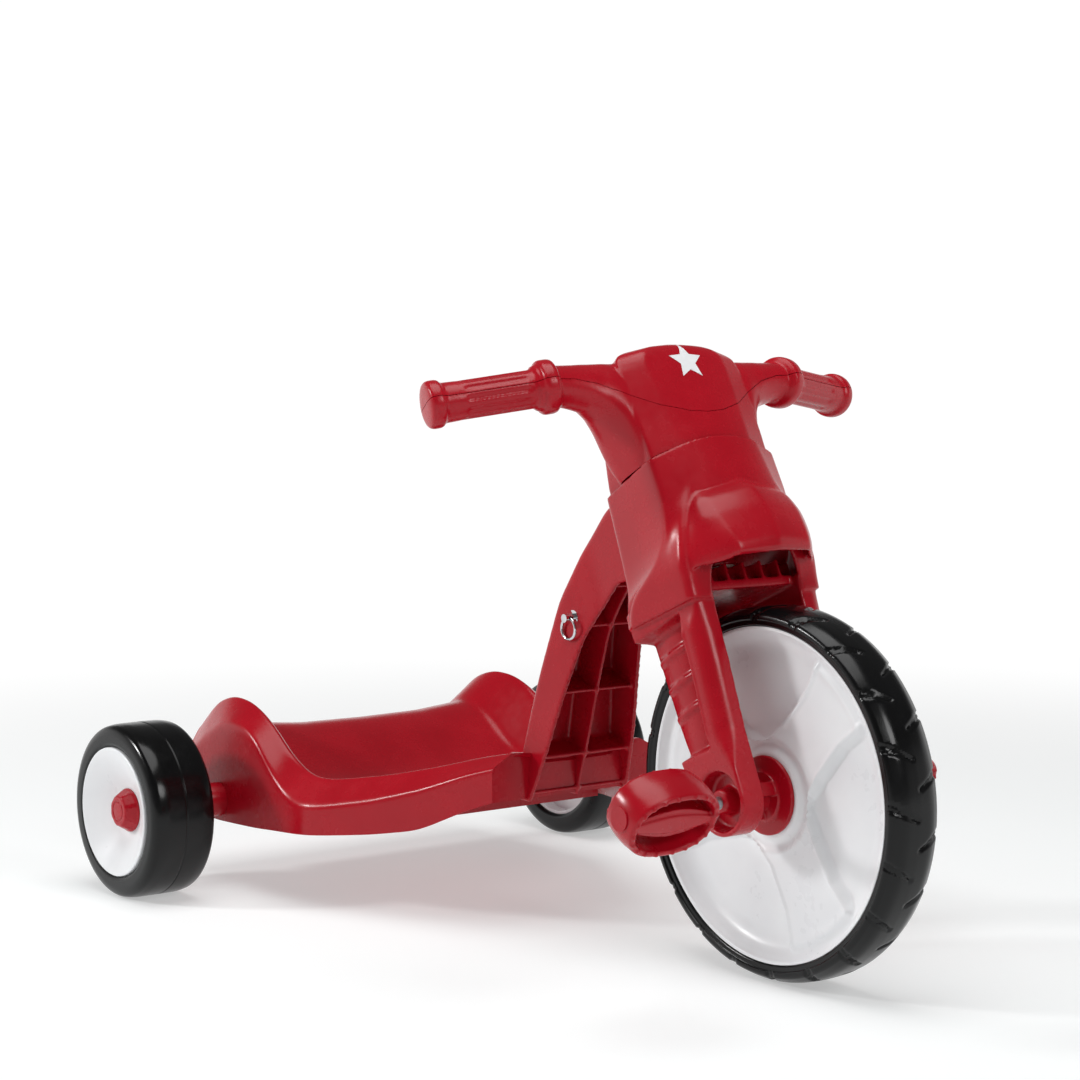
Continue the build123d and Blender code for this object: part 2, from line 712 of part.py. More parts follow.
def lock_pin():
    half = pin_face_half
    shank = round_x(pin_r, -half, half + 4.0, pin_y, pin_z)
    head = round_x(pin_head_r, -half - moving_gap - pin_head, -half - moving_gap, pin_y, pin_z)
    stub = round_x(pin_r, -half - pin_stub - pin_head, -half, pin_y, pin_z)
    eye = Pos(ring_x(), pin_y, pin_z) * Rot(90, 0, 0) * Cylinder(ring_wire_r + 1.0, 4 * pin_r)
    return shank + head + stub - eye


def ring_x():
    return -pin_face_half - pin_head - pin_stub / 2


def pin_ring():
    return Pos(ring_x(), pin_y, pin_z - ring_r) * Rot(0, 90, 0) * Torus(ring_r, ring_wire_r)


# Rear wheels and axle

def rear_axle():
    reach = rear_hub_end() + moving_gap + nut_length + 2.0
    return round_x(axle_r, -reach, reach, rear_axle_y, rear_wheel_r)


def rear_hub_end():
    return outer_half_width - rear_disc_dish - 8.0


def rear_bush(side):
    inner, outer, end = axle_r + held_gap, axle_r + bush_wall, axle_boss_x
    body = round_x(outer, side * (end - 22.0), side * end, rear_axle_y, rear_wheel_r)
    body += round_x(outer + 5.0, side * end, side * (end + bush_flange), rear_axle_y, rear_wheel_r)
    return body - round_x(inner, side * (end - 30.0), side * (end + 30.0), rear_axle_y, rear_wheel_r)


def rear_tyre(side):
    corner = 9.0
    x0, x1 = rear_tyre_inner, rear_tyre_outer
    outline = [(rear_bead_r, x0 + 4.0), (rear_bead_r + 5.0, x0), (rear_wheel_r - corner, x0)]
    outline += [(rear_wheel_r - 2.6, x0 + 2.6), (rear_wheel_r, x0 + corner), (rear_wheel_r, x1 - corner)]
    outline += [(rear_wheel_r - 2.6, x1 - 2.6), (rear_wheel_r - corner, x1), (rear_bead_r + 5.0, x1)]
    outline += [(rear_bead_r, x1 - 4.0), (rear_bead_r, x1 - 4.0 - tyre_wall)]
    outline += [(rear_bead_r + 6.0, x1 - tyre_wall), (rear_wheel_r - corner, x1 - tyre_wall)]
    outline += [(rear_wheel_r - tyre_wall, x1 - corner), (rear_wheel_r - tyre_wall, x0 + corner)]
    outline += [(rear_wheel_r - corner, x0 + tyre_wall), (rear_bead_r + 6.0, x0 + tyre_wall)]
    outline += [(rear_bead_r, x0 + 4.0 + tyre_wall)]
    return spun_x(outline, rear_axle_y, rear_wheel_r, side)


def rear_hub(side):
    """Inner moulding of a rear wheel: drum, web and the long hub on the axle."""
    x0, x1, bore = rear_tyre_inner + 4.0, rear_tyre_outer - 6.0, axle_r + running_gap
    hub_in = axle_boss_x + bush_flange + moving_gap
    web_x = x0 + 14.0
    drum = rear_bead_r - rear_disc_skin
    outline = [
        (bore, hub_in), (hub_r, hub_in), (hub_r, web_x), (drum, web_x), (drum, x0), (rear_bead_r, x0),
        (rear_bead_r, x1), (drum, x1), (drum, web_x + rear_disc_skin), (hub_r, web_x + rear_disc_skin),
        (hub_r, rear_hub_end()), (bore, rear_hub_end()),
    ]
    return spun_x(outline, rear_axle_y, rear_wheel_r, side)


def rear_disc(side):
    """White outer cover of a rear wheel, dished towards the hub cap."""
    drum = rear_bead_r - rear_disc_skin
    face, dish, skin = outer_half_width, outer_half_width - rear_disc_dish, rear_disc_skin
    hole = nut_r + 3.0
    shut = rear_tyre_outer - 6.0
    outline = [
        (hole, dish), (hub_cap_base_r + 4.0, dish), (drum - 6.0, face - 3.0), (rear_bead_r - 1.0, face),
        (rear_bead_r, face - 2.0), (rear_bead_r, shut), (drum, shut), (drum - 6.0, face - 3.0 - skin),
        (hub_cap_base_r + 4.0, dish - skin), (hole, dish - skin),
    ]
    return spun_x(outline, rear_axle_y, rear_wheel_r, side)


def rear_hub_cap(side):
    """Eight-sided cap over the axle's end, clipped into the disc."""
    base = outer_half_width - rear_disc_dish
    tip = base + hub_cap_length
    low = Plane(origin=(side * base, rear_axle_y, rear_wheel_r), z_dir=(side, 0, 0))
    high = Plane(origin=(side * tip, rear_axle_y, rear_wheel_r), z_dir=(side, 0, 0))
    ends = [low * RegularPolygon(hub_cap_base_r, 8), high * RegularPolygon(hub_cap_face_r, 8)]
    cap = loft(ends, ruled=True)
    clip = nut_r + 3.0
    cap += round_x(clip, side * (base - rear_disc_skin), side * base, rear_axle_y, rear_wheel_r)
    room = round_x(nut_r + moving_gap, side * (base - 6.0), side * (tip - 3.0), rear_axle_y, rear_wheel_r)
    return cap - room


def rear_nut(side):
    x0 = rear_hub_end() + moving_gap
    x1 = x0 + nut_length
    body = round_x(nut_r, side * x0, side * x1, rear_axle_y, rear_wheel_r)
    return body - round_x(axle_r + held_gap, side * (x0 - 1.0), side * (x1 + 1.0), rear_axle_y, rear_wheel_r)


def main():
    save("front_tyre", front_tyre())
    save("crank_rod", crank_rod())
    save("fork", fork())
    save("steering_column", column())
    save("head_bush_lower", head_bush(True))
    save("head_bush_upper", head_bush(False))
    save("front_frame", front_frame())
    save("seat_body", seat_body())
    save("lock_pin", lock_pin())
    save("pin_ring", pin_ring())
    save("rear_axle", rear_axle())
    shells = handlebar()
    save("handlebar_upper", steered(shells & upper_region()))
    save("handlebar_lower", steered(shells - upper_region()))
    save("handlebar_screws", *shell_screws())
    for name, z in (("crown", crown_bolt_z()), ("stem", stem_bolt_z())):
        grip_half = column_r + (8.0 if name == "crown" else 6.0)
        save(f"{name}_bolt", cross_bolt(z, grip_half))
        save(f"{name}_nut", cross_nut(z, grip_half))
    for name, side in sides.items():
        save(f"front_disc_{name}", front_disc(side))
        save(f"drive_spool_{name}", drive_spool(side))
        save(f"fork_bush_{name}", fork_bush(side))
        save(f"pedal_{name}", pedal(side))
        save(f"pedal_nut_{name}", pedal_nut(side))
        save(f"pedal_cap_{name}", pedal_cap(side))
        save(f"pedal_washer_{name}", pedal_washer(side))
        save(f"rear_tyre_{name}", rear_tyre(side))
        save(f"rear_hub_{name}", rear_hub(side))
        save(f"rear_disc_{name}", rear_disc(side))
        save(f"rear_hub_cap_{name}", rear_hub_cap(side))
        save(f"rear_axle_nut_{name}", rear_nut(side))
        save(f"rear_axle_bush_{name}", rear_bush(side))


main()
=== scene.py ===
import json
import math

import bmesh
import bpy
import numpy as np
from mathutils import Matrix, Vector


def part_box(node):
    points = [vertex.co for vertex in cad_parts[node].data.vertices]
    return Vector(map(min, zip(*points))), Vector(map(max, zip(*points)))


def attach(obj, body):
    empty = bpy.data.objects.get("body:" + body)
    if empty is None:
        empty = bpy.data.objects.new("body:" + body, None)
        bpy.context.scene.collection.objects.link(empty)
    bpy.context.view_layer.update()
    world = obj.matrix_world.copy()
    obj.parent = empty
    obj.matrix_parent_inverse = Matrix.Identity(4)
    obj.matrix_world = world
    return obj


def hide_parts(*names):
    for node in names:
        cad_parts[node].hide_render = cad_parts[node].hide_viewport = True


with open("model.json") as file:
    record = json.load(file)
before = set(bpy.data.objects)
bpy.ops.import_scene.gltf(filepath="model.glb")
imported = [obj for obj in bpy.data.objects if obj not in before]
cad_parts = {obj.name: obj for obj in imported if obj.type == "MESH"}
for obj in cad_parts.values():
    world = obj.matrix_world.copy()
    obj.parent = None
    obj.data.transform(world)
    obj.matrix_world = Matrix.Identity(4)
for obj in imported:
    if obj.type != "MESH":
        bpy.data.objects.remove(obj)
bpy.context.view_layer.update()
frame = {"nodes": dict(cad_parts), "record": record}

mm = 0.001
record = frame["record"]
joints = {joint["name"]: joint for joint in record["behaviour"]["joints"]}
sides = {"right": -1, "left": 1}


# colours and nodes

def toLinear(hexColour):
    # sRGB hex to the linear values that shaders want
    srgb = np.array([int(hexColour[i:i + 2], 16) / 255 for i in (1, 3, 5)])
    linear = np.where(srgb <= 0.04045, srgb / 12.92, ((srgb + 0.055) / 1.055) ** 2.4)
    return (*linear.tolist(), 1.0)


def addNode(tree, kind, links=(), **settings):
    # links: input name or index to a socket or a plain value; settings: the node's own properties
    node = tree.nodes.new(kind)
    for key, value in settings.items():
        setattr(node, key, value)
    for key, value in dict(links).items():
        if isinstance(value, bpy.types.NodeSocket):
            tree.links.new(value, node.inputs[key])
        else:
            node.inputs[key].default_value = value
    return node


def newMaterial(name):
    material = bpy.data.materials.new(name)
    material.use_nodes = True
    material.node_tree.nodes.clear()
    return material, material.node_tree


def closeMaterial(tree, shader):
    addNode(tree, "ShaderNodeOutputMaterial", {"Surface": shader.outputs["BSDF"]})


def blotches(tree, place, size, detail=3.0):
    # soft noise whose blobs are about size millimetres across
    return addNode(tree, "ShaderNodeTexNoise", {"Vector": place, "Scale": 1 / (size * mm),
        "Detail": detail})


def between(tree, factor, low, high):
    # a number from low to high as factor goes from 0.3 to 0.7, the span that noise really covers
    return addNode(tree, "ShaderNodeMapRange", {"Value": factor, "From Min": 0.3, "From Max": 0.7,
                                                "To Min": low, "To Max": high}).outputs["Result"]


def mixColours(tree, factor, first, second):
    node = addNode(tree, "ShaderNodeMix", {"Factor": factor, 6: first, 7: second}, data_type="RGBA")
    return node.outputs[2]


plastics = {
    "red": {"base": "#a6081b", "pale": "#b00a1e", "deep": "#990617", "rough": (0.19, 0.27), "grain": 0.9,
            "scuff": 0.06, "mirror": 0.3},
    "white": {"base": "#e9eaec", "pale": "#f1f2f3", "deep": "#dfe0e3", "rough": (0.24, 0.36), "grain": 0.8,
              "scuff": 0.05, "mirror": 0.5},
    "black": {"base": "#070708", "pale": "#0b0b0c", "deep": "#050505", "rough": (0.13, 0.21), "grain": 1.4,
              "scuff": 0.07, "mirror": 0.28},
    "nylon": {"base": "#ddd8c9", "pale": "#e6e2d6", "deep": "#cfc9b8", "rough": (0.42, 0.55), "grain": 0.7,
              "scuff": 0.1, "mirror": 0.5},
}


def mouldedPlastic(name, look, ior):
    # a moulded skin: even colour with faint flow clouds, fine orange peel, rubbed patches in the gloss
    material, tree = newMaterial(name)
    place = addNode(tree, "ShaderNodeTexCoord").outputs["Object"]
    clouds = blotches(tree, place, 60.0)
    streaks = blotches(tree, place, 9.0, 5.0)
    specks = blotches(tree, place, 2.2, 2.0)
    tint = mixColours(tree, between(tree, clouds.outputs["Fac"], 0.0, 1.0), toLinear(look["deep"]),
        toLinear(look["pale"]))
    colour = mixColours(tree, 0.55, tint, toLinear(look["base"]))
    rubbed = between(tree, streaks.outputs["Fac"], 0.0, look["scuff"])
    low, high = look["rough"]
    rough = addNode(tree, "ShaderNodeMath", {0: between(tree, clouds.outputs["Fac"], low, high),
        1: rubbed}, operation="ADD")
    peel = addNode(tree, "ShaderNodeTexNoise", {"Vector": place, "Scale": 1 / (look["grain"] * mm),
        "Detail": 2.0})
    skin = addNode(tree, "ShaderNodeBump", {"Height": peel.outputs["Fac"], "Strength": 0.12,
        "Distance": 0.05 * mm})
    dents = addNode(tree, "ShaderNodeBump", {"Height": specks.outputs["Fac"], "Strength": 0.1,
        "Distance": 0.12 * mm,
                                             "Normal": skin.outputs["Normal"]})
    shader = addNode(tree, "ShaderNodeBsdfPrincipled", {
        "Base Color": colour, "Roughness": rough.outputs[0], "Normal": dents.outputs["Normal"], "IOR": ior,
        "Specular IOR Level": look["mirror"]})
    closeMaterial(tree, shader)
    return material


metals = {
    "drawnSteel": {"base": "#a5a7aa", "dark": "#83858a", "rough": (0.26, 0.42),
    "stretch": (0.03, 1.0, 1.0), "grain": 0.5},
    "zincPlate": {"base": "#b4b6ba", "dark": "#93959c", "rough": (0.3, 0.46), "stretch": (1.0, 1.0, 1.0),
    "grain": 1.1},
    "chromeWire": {"base": "#dcdddf", "dark": "#c4c6ca", "rough": (0.05, 0.13), "stretch": (1.0, 1.0, 1.0),
    "grain": 2.0},
}


def bareMetal(name, look):
    # metal whose grain is drawn out along the rod, or blotched in the plating
    material, tree = newMaterial(name)
    place = addNode(tree, "ShaderNodeTexCoord").outputs["Object"]
    drawn = addNode(tree, "ShaderNodeMapping", {"Vector": place,
        "Scale": look["stretch"]}).outputs["Vector"]
    grain = addNode(tree, "ShaderNodeTexNoise", {"Vector": drawn, "Scale": 1 / (look["grain"] * mm),
        "Detail": 4.0})
    clouds = blotches(tree, place, 14.0)
    colour = mixColours(tree, between(tree, clouds.outputs["Fac"], 0.0, 1.0), toLinear(look["dark"]),
        toLinear(look["base"]))
    rough = between(tree, grain.outputs["Fac"], *look["rough"])
    lines = addNode(tree, "ShaderNodeBump", {"Height": grain.outputs["Fac"], "Strength": 0.15,
        "Distance": 0.04 * mm})
    shader = addNode(tree, "ShaderNodeBsdfPrincipled", {
        "Base Color": colour, "Metallic": 1.0, "Roughness": rough, "Normal": lines.outputs["Normal"]})
    closeMaterial(tree, shader)
    return material


# a thin opaque print, slightly dull
whiteInk = mouldedPlastic("padPrintedInkWhite", plastics["white"], 1.5)
# satin gloss, dyed through
redPolyethylene = mouldedPlastic("redPolyethyleneMoulded", plastics["red"], 1.51)
# bright and semi-gloss
whitePolypropylene = mouldedPlastic("whitePolypropyleneMoulded", plastics["white"], 1.49)
# a hard shiny tyre skin
blackTyrePlastic = mouldedPlastic("blackTyreBlowMoulded", plastics["black"], 1.5)
# milky and dull
naturalNylon = mouldedPlastic("naturalNylonMoulded", plastics["nylon"], 1.53)
# grey, streaked along the rod
drawnSteel = bareMetal("zincPlatedSteelDrawn", metals["drawnSteel"])
# blotched plating
zincPlate = bareMetal("steelZincPlated", metals["zincPlate"])
# near mirror
chromeWire = bareMetal("steelWireChromed", metals["chromeWire"])
print("materials done")


# shape tools: arrays are in millimetres until a piece is made

def steeringFrame():
    joint = joints["steering"]
    axis = np.array(joint["axis"])
    return np.array(joint["pos_m"]) / mm, np.array([0.0, axis[2], -axis[1]]), axis


steerOrigin, steerBack, steerUp = steeringFrame()


def steered(points):
    # from (across, back, up) about the steering axis to the tricycle's frame
    points = np.asarray(points, float)
    return steerOrigin + points[..., :1] * [1.0, 0, 0] + points[..., 1:2] * steerBack + points[...,
        2:] * steerUp


def corners(points, radius, steps=6, closed=False):
    # an outline with each corner turned into a quadratic curve that starts and ends radius away from it
    points = np.asarray(points, float)
    radius = np.broadcast_to(radius, len(points))
    out = []
    for i, corner in enumerate(points):
        if not closed and i in (0, len(points) - 1):
            out.append(corner[None])
            continue
        before, after = points[i - 1], points[(i + 1) % len(points)]
        inWay, outWay = before - corner, after - corner
        reach = min(radius[i], 0.49 * np.linalg.norm(inWay), 0.49 * np.linalg.norm(outWay))
        start = corner + inWay / np.linalg.norm(inWay) * reach
        end = corner + outWay / np.linalg.norm(outWay) * reach
        t = np.linspace(0, 1, steps)[:, None]
        out.append((1 - t) ** 2 * start + 2 * t * (1 - t) * corner + t ** 2 * end)
    return np.concatenate(out)


def evenly(path, spacing, closed=True):
    # the same path with points added to its long spans
    ends = np.roll(path, -1, 0) if closed else path[1:]
    spans = [start + (end - start) * np.linspace(0, 1, max(1, int(np.linalg.norm(end - start) / spacing)),
        endpoint=False)[:, None]
             for start, end in zip(path, ends)]
    return np.concatenate(spans + ([] if closed else [path[-1:]]))


def soften(values, width, axis=0):
    # a running weighted mean along one axis, with the ends held
    reach = int(np.ceil(2.5 * width))
    weights = np.exp(-0.5 * (np.arange(-reach, reach + 1) / width) ** 2)
    weights /= weights.sum()
    values = np.moveaxis(np.asarray(values, float), axis, 0)
    first, last = values[:1], values[-1:]
    head = 2 * first - values[1:reach + 1][::-1]
    tail = 2 * last - values[-reach - 1:-1][::-1]
    padded = np.concatenate([head, values, tail])
    smooth = sum(w * padded[i:i + len(values)] for i, w in enumerate(weights))
    return np.moveaxis(smooth, 0, axis)


def circle(count):
    # angles all round, evenly spaced
    return np.linspace(0, 2 * np.pi, count, endpoint=False)


def step(values, low, high):
    # 0 below low, 1 above high, an S curve between
    t = np.clip((values - low) / (high - low), 0, 1)
    return t * t * (3 - 2 * t)


def gridFaces(rows, columns, wrapRows=False, wrapColumns=False):
    i = np.arange(rows if wrapRows else rows - 1)[:, None]
    j = np.arange(columns if wrapColumns else columns - 1)[None]
    i2, j2 = (i + 1) % rows, (j + 1) % columns
    return np.stack([a * columns + b for a, b in ((i, j), (i2, j), (i2, j2), (i, j2))], -1).reshape(-1, 4)


def sheet(points, **how):
    rows, columns = points.shape[:2]
    return points.reshape(-1, 3), gridFaces(rows, columns, **how)


def joined(*parts):
    # several (points, faces) pairs as one
    points, faces, start = [], [], 0
    for somePoints, someFaces in parts:
        points.append(somePoints)
        faces += [tuple(face) for face in (np.asarray(someFaces) + start).tolist()]
        start += len(somePoints)
    return np.concatenate(points), faces


def gridNormals(points):
    # the cross product of a grid's two directions, made unit long
    across, along = np.gradient(points, axis=0), np.gradient(points, axis=1)
    normal = np.cross(across, along)
    return normal / np.maximum(np.linalg.norm(normal, axis=-1, keepdims=True), 1e-9)


def thickSheet(points, thickness):
    # a grid and its copy moved back along the normals, closed round the rim
    inner = points - gridNormals(points) * thickness
    loop = np.concatenate([points, inner[::-1]])
    rows, columns = points.shape[:2]
    faces = gridFaces(2 * rows, columns, wrapRows=True).tolist()
    for j, turn in ((0, 1), (columns - 1, -1)):
        for i in range(rows - 1):
            back = 2 * rows - 1 - i
            quad = [i * columns + j, (i + 1) * columns + j, (back - 1) * columns + j, back * columns + j]
            faces.append(quad[::turn])
    return loop.reshape(-1, 3), faces


def capped(rows):
    # a stack of closed rings, each end drawn in to its own middle
    ends = [np.broadcast_to(row.mean(0), row.shape)[None] for row in (rows[0], rows[-1])]
    return sheet(np.concatenate([ends[0], rows, ends[1]]), wrapColumns=True)


def spun(profile, centre, side=1, segments=128, wave=None):
    # an outline of (radius, x) carried round the X axis; wave(angle, outline) may move each point
    profile = np.asarray(profile, float)
    angle = circle(segments)[:, None]
    radius = np.broadcast_to(profile[:, 0], (segments, len(profile)))
    across = np.broadcast_to(profile[:, 1], radius.shape)
    if wave is not None:
        radius, across = wave(angle, radius, across)
    points = np.stack([side * across, -radius * np.sin(angle), radius * np.cos(angle)], -1)
    return sheet(points + np.asarray(centre), wrapRows=True, wrapColumns=True)


def slab(low, high):
    # a box between two corners
    low, high = np.asarray(low, float), np.asarray(high, float)
    ring = np.array([(0, 0), (1, 0), (1, 1), (0, 1)])
    points = np.array([(*ring[k], h) for h in (0, 1) for k in range(4)]) * (high - low) + low
    faces = [(3, 2, 1, 0), (4, 5, 6, 7)] + [(k, (k + 1) % 4, 4 + (k + 1) % 4, 4 + k) for k in range(4)]
    return points, faces


def placed(name, data):
    # a new object in the scene
    item = bpy.data.objects.new(name, data)
    bpy.context.collection.objects.link(item)
    return item


def toMesh(name, points, faces):
    mesh = bpy.data.meshes.new(name)
    mesh.from_pydata((np.asarray(points) * mm).tolist(), [], [tuple(face) for face in faces])
    work = bmesh.new()
    work.from_mesh(mesh)
    bmesh.ops.remove_doubles(work, verts=work.verts, dist=1e-5)
    bmesh.ops.dissolve_degenerate(work, edges=work.edges, dist=1e-6)
    bmesh.ops.recalc_face_normals(work, faces=work.faces)
    work.to_mesh(mesh)
    work.free()
    return mesh


def applied(item):
    # the object's mesh with its modifiers worked out
    graph = bpy.context.evaluated_depsgraph_get()
    graph.update()
    mesh = bpy.data.meshes.new_from_object(item.evaluated_get(graph))
    item.modifiers.clear()
    item.data = mesh
    return mesh


def fused(name, parts, voxel, rounds, keep=1.0):
    # overlapping closed solids melted into one skin, with softened inner corners like a moulding's fillets
    item = placed(name, toMesh(name, *joined(*parts)))
    melt = item.modifiers.new("melt", "REMESH")
    melt.mode, melt.voxel_size, melt.use_smooth_shade = "VOXEL", voxel * mm, True
    ease = item.modifiers.new("ease", "SMOOTH")
    ease.factor, ease.iterations = 0.5, rounds
    if keep < 1:
        thin = item.modifiers.new("thin", "DECIMATE")
        thin.ratio = keep
    applied(item)
    return item


def finishPiece(item, body, material, nodes=(), sharp=None):
    mesh = item.data
    mesh.materials.clear()
    mesh.materials.append(material)
    mesh.shade_smooth()
    if sharp:
        mesh.set_sharp_from_angle(angle=math.radians(sharp))
    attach(item, body)
    if nodes:
        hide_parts(*nodes)
    return item


def makePiece(name, parts, body, material, nodes=(), sharp=35):
    item = placed(name, toMesh(name, *joined(*parts)))
    return finishPiece(item, body, material, nodes, sharp)


def reposition(item, move):
    # runs every vertex of a mesh through a function of its place in millimetres
    mesh = item.data
    flat = np.empty(len(mesh.vertices) * 3)
    mesh.vertices.foreach_get("co", flat)
    points = move(flat.reshape(-1, 3) / mm)
    mesh.vertices.foreach_set("co", (points * mm).ravel())
    mesh.update()


def wheelCentre(node):
    low, high = (np.array(corner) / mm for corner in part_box(node))
    return np.array([0, (low[1] + high[1]) / 2, (low[2] + high[2]) / 2]), (high[2] - low[2]) / 2


frontCentre, frontRadius = wheelCentre("front_tyre")
rearCentre, rearRadius = wheelCentre("rear_tyre_right")


# front wheel

frontTyre = {"halfWidth": 26.9, "beadRadius": 145.4, "lip": 151.5, "grooves": 20, "grooveDepth": 2.0,
             "lipWidth": 4.2, "tipWidth": 1.8, "slant": 4.5, "tipAt": 3.0}


def makeFrontTyre():
    half, bead, lip, crown = frontTyre["halfWidth"], frontTyre["beadRadius"], frontTyre["lip"], frontRadius
    outer = [(bead - 2.2, 19.8), (bead, 23.6), (bead + 1.4, 24.9), (lip - 0.8, 25.2), (lip, half),
             (lip + 4.5, half - 0.6), (crown - 4.0, 21.6), (crown - 0.9, 15.0), (crown, 0.0)]
    outer += [(r, -x) for r, x in reversed(outer[:-1])]
    inner = [(r - 4.5, np.clip(x, -18, 18)) for r, x in ((crown, -16.0), (crown, 16.0))]
    rounds = [0.5, 1.0, 0.8, 0.7, 1.6, 5.0, 5.0, 7.0]
    ring = corners(outer + inner, rounds + [12.0] + rounds[::-1] + [1, 1], 3, closed=True)
    fine = evenly(ring, 1.9)

    def tread(angle, radius, across):
        # each groove tapers from the lip to a round tip near the middle, slanting round the wheel
        reach = np.abs(across)
        along = np.clip((reach - frontTyre["tipAt"]) / (half - frontTyre["tipAt"]), -1, 1.2)
        lateral = np.where(across < 0, 0.0, 0.5)
        pitch = 2 * np.pi / frontTyre["grooves"]
        slanted = angle + math.radians(frontTyre["slant"]) * along
        offset = ((slanted / pitch + lateral + 0.5) % 1 - 0.5) * pitch * radius
        widths = frontTyre["tipWidth"], frontTyre["lipWidth"]
        width = widths[0] + (widths[1] - widths[0]) * np.clip(along, 0, 1)
        tip = np.sqrt(np.clip(1 - np.clip(-along * 8, 0, 1) ** 2, 0, 1))
        inside = 1 - step(np.abs(offset), width * tip - 0.9, width * tip + 0.5)
        inside *= (along > -0.12) & (radius > lip - 0.2)
        rib = 1 - step(np.abs(offset), 0.2, 1.2)
        depth = frontTyre["grooveDepth"] * inside * (1 - 0.5 * rib * step(along, 0.1, 0.5))
        inward = np.where(radius > crown - 3, 1.0, 0.75)
        return radius - depth * inward, across - np.sign(across) * depth * 0.35 * step(reach, 14, 24)

    return spun(fine, frontCentre, segments=640, wave=tread)


frontDisc = {"rim": 145.3, "hubFace": 19.9, "dish": 9.6, "spoke": 7.4, "bank": 8.0,
    "scoops": (-12.0, 94.0, 205.0)}
scoopRadii = [46.0, 49.0, 54.0, 62.0, 79.0, 87.0, 100.0, 137.0]
scoopHalfAngles = [-6.0, 12.0, 18.0, 26.0, 32.0, 34.0, 36.5, 37.5]


def makeFrontDisc(side):
    rim, hub, dish = frontDisc["rim"], frontDisc["hubFace"], frontDisc["dish"]
    face = [(6.0, hub), (36.5, hub), (46.0, dish + 3.0), (56.0, dish), (124.0, dish), (134.0, dish + 3.6),
            (140.6, hub + 0.4), (142.6, hub + 3.6), (rim, hub + 4.1), (rim, hub + 2.6), (142.9, hub - 0.4)]
    face = evenly(corners(face, [0, 2, 5, 6, 12, 5, 2, 1, 0.8, 0.8, 0], 8), 1.5, closed=False)
    back = np.array([(142.9, 0.1), (139.8, 0.1), (139.8, dish), (134.0, dish - 1.0), (124.0, dish - 3.0),
                     (50.0, dish - 3.0), (36.0, hub - 3.0), (15.0, hub - 3.0), (15.0, 0.1), (6.0, 0.1)])
    profile = np.concatenate([face, back])
    front = np.arange(len(profile)) < len(face) - 8

    def scooped(angle, radius, across):
        # three scoops with rounded inner ends are sunk in the face, and spokes stay between them
        outside = np.full(np.broadcast(angle, radius).shape, np.inf)
        half = np.radians(np.interp(radius, scoopRadii, scoopHalfAngles))
        for centre in frontDisc["scoops"]:
            turn = np.abs((angle - math.radians(centre) + np.pi) % (2 * np.pi) - np.pi)
            outside = np.minimum(outside, (turn - half) * radius)
        spoke = step(outside, -frontDisc["bank"], 1.5)
        bead = np.exp(-((outside - 1.0) / 2.6) ** 2)
        fade = step(radius, 40, 52) * (1 - step(radius, 126, 139))
        lift = (frontDisc["spoke"] * spoke + 1.3 * bead) * fade * front
        return radius + 0 * lift, across + lift

    return spun(profile, frontCentre, side, segments=640, wave=scooped)


driveSpool = {"body": 20.0, "flange": 34.4, "start": 20.0, "end": 49.6, "bore": 5.2}


def makeDriveSpool(side):
    s = driveSpool
    body, flange, start, end = s["body"], s["flange"], s["start"], s["end"]
    profile = [(s["bore"], start), (flange, start), (flange, start + 3.8), (body, start + 5.6),
               (body - 0.6, end - 6.0), (body + 1.6, end - 4.0), (body + 1.2, end), (s["bore"], end)]
    profile = evenly(corners(profile, [0.3, 1.4, 1.4, 4.0, 2.0, 1.2, 1.2, 0.3], 7, closed=True), 1.2)

    def windows(angle, radius, across):
        # two moulded pockets in the barrel, with a rib between them
        turn = (angle + np.pi / 3) % (2 * np.pi / 3) - np.pi / 3
        mask = step(across, 27.5, 29.0) * (1 - step(across, 41.0, 42.5))
        mask = mask * (1 - step(np.abs(turn), 0.62, 0.74))
        return radius - 6.0 * mask * (radius > 15), across + 0 * mask

    return spun(profile, frontCentre, side, segments=240, wave=windows)


makePiece("frontTyre", [makeFrontTyre()], "front_wheel", blackTyrePlastic, ["front_tyre"], 40)
for name, side in sides.items():
    makePiece(f"frontDisc_{name}", [makeFrontDisc(side)], "front_wheel",
        whitePolypropylene,
              [f"front_disc_{name}"], 50)
    makePiece(f"driveSpool_{name}", [makeDriveSpool(side)], "front_wheel", redPolyethylene,
              [f"drive_spool_{name}"], 40)
print("front wheel done")


# rear wheels

rearWheel = {"outer": 307.4, "width": 68.6, "bead": 63.8, "face": 308.6, "dish": 19.0}


def makeRearTyre(side):
    outer, inner = rearWheel["outer"], rearWheel["outer"] - rearWheel["width"]
    bead, top = rearWheel["bead"], rearRadius
    middle = (outer + inner) / 2
    ring = [(bead, outer - 8.0), (bead, outer - 2.2), (bead + 3.2, outer), (top - 8.5, outer - 0.2),
        (top - 1.9, outer - 3.6),
            (top - 0.1, outer - 13.0), (top, middle + 1.2), (top - 0.5, middle + 0.5),
            (top - 0.5, middle - 0.5), (top, middle - 1.2),
            (top - 0.1, inner + 13.0), (top - 1.9, inner + 3.6), (top - 8.5, inner + 0.2),
            (bead + 3.2, inner), (bead, inner + 2.2),
            (bead, inner + 8.0), (top - 5.5, inner + 7.0), (top - 5.5, outer - 7.0)]
    profile = corners(ring, [1, 1.2, 2.2, 4, 4, 6, 0.4, 0.3, 0.3, 0.4, 6, 4, 4, 2.2, 1.2, 1, 2, 2], 8,
        closed=True)
    return spun(profile, rearCentre, side, segments=180)


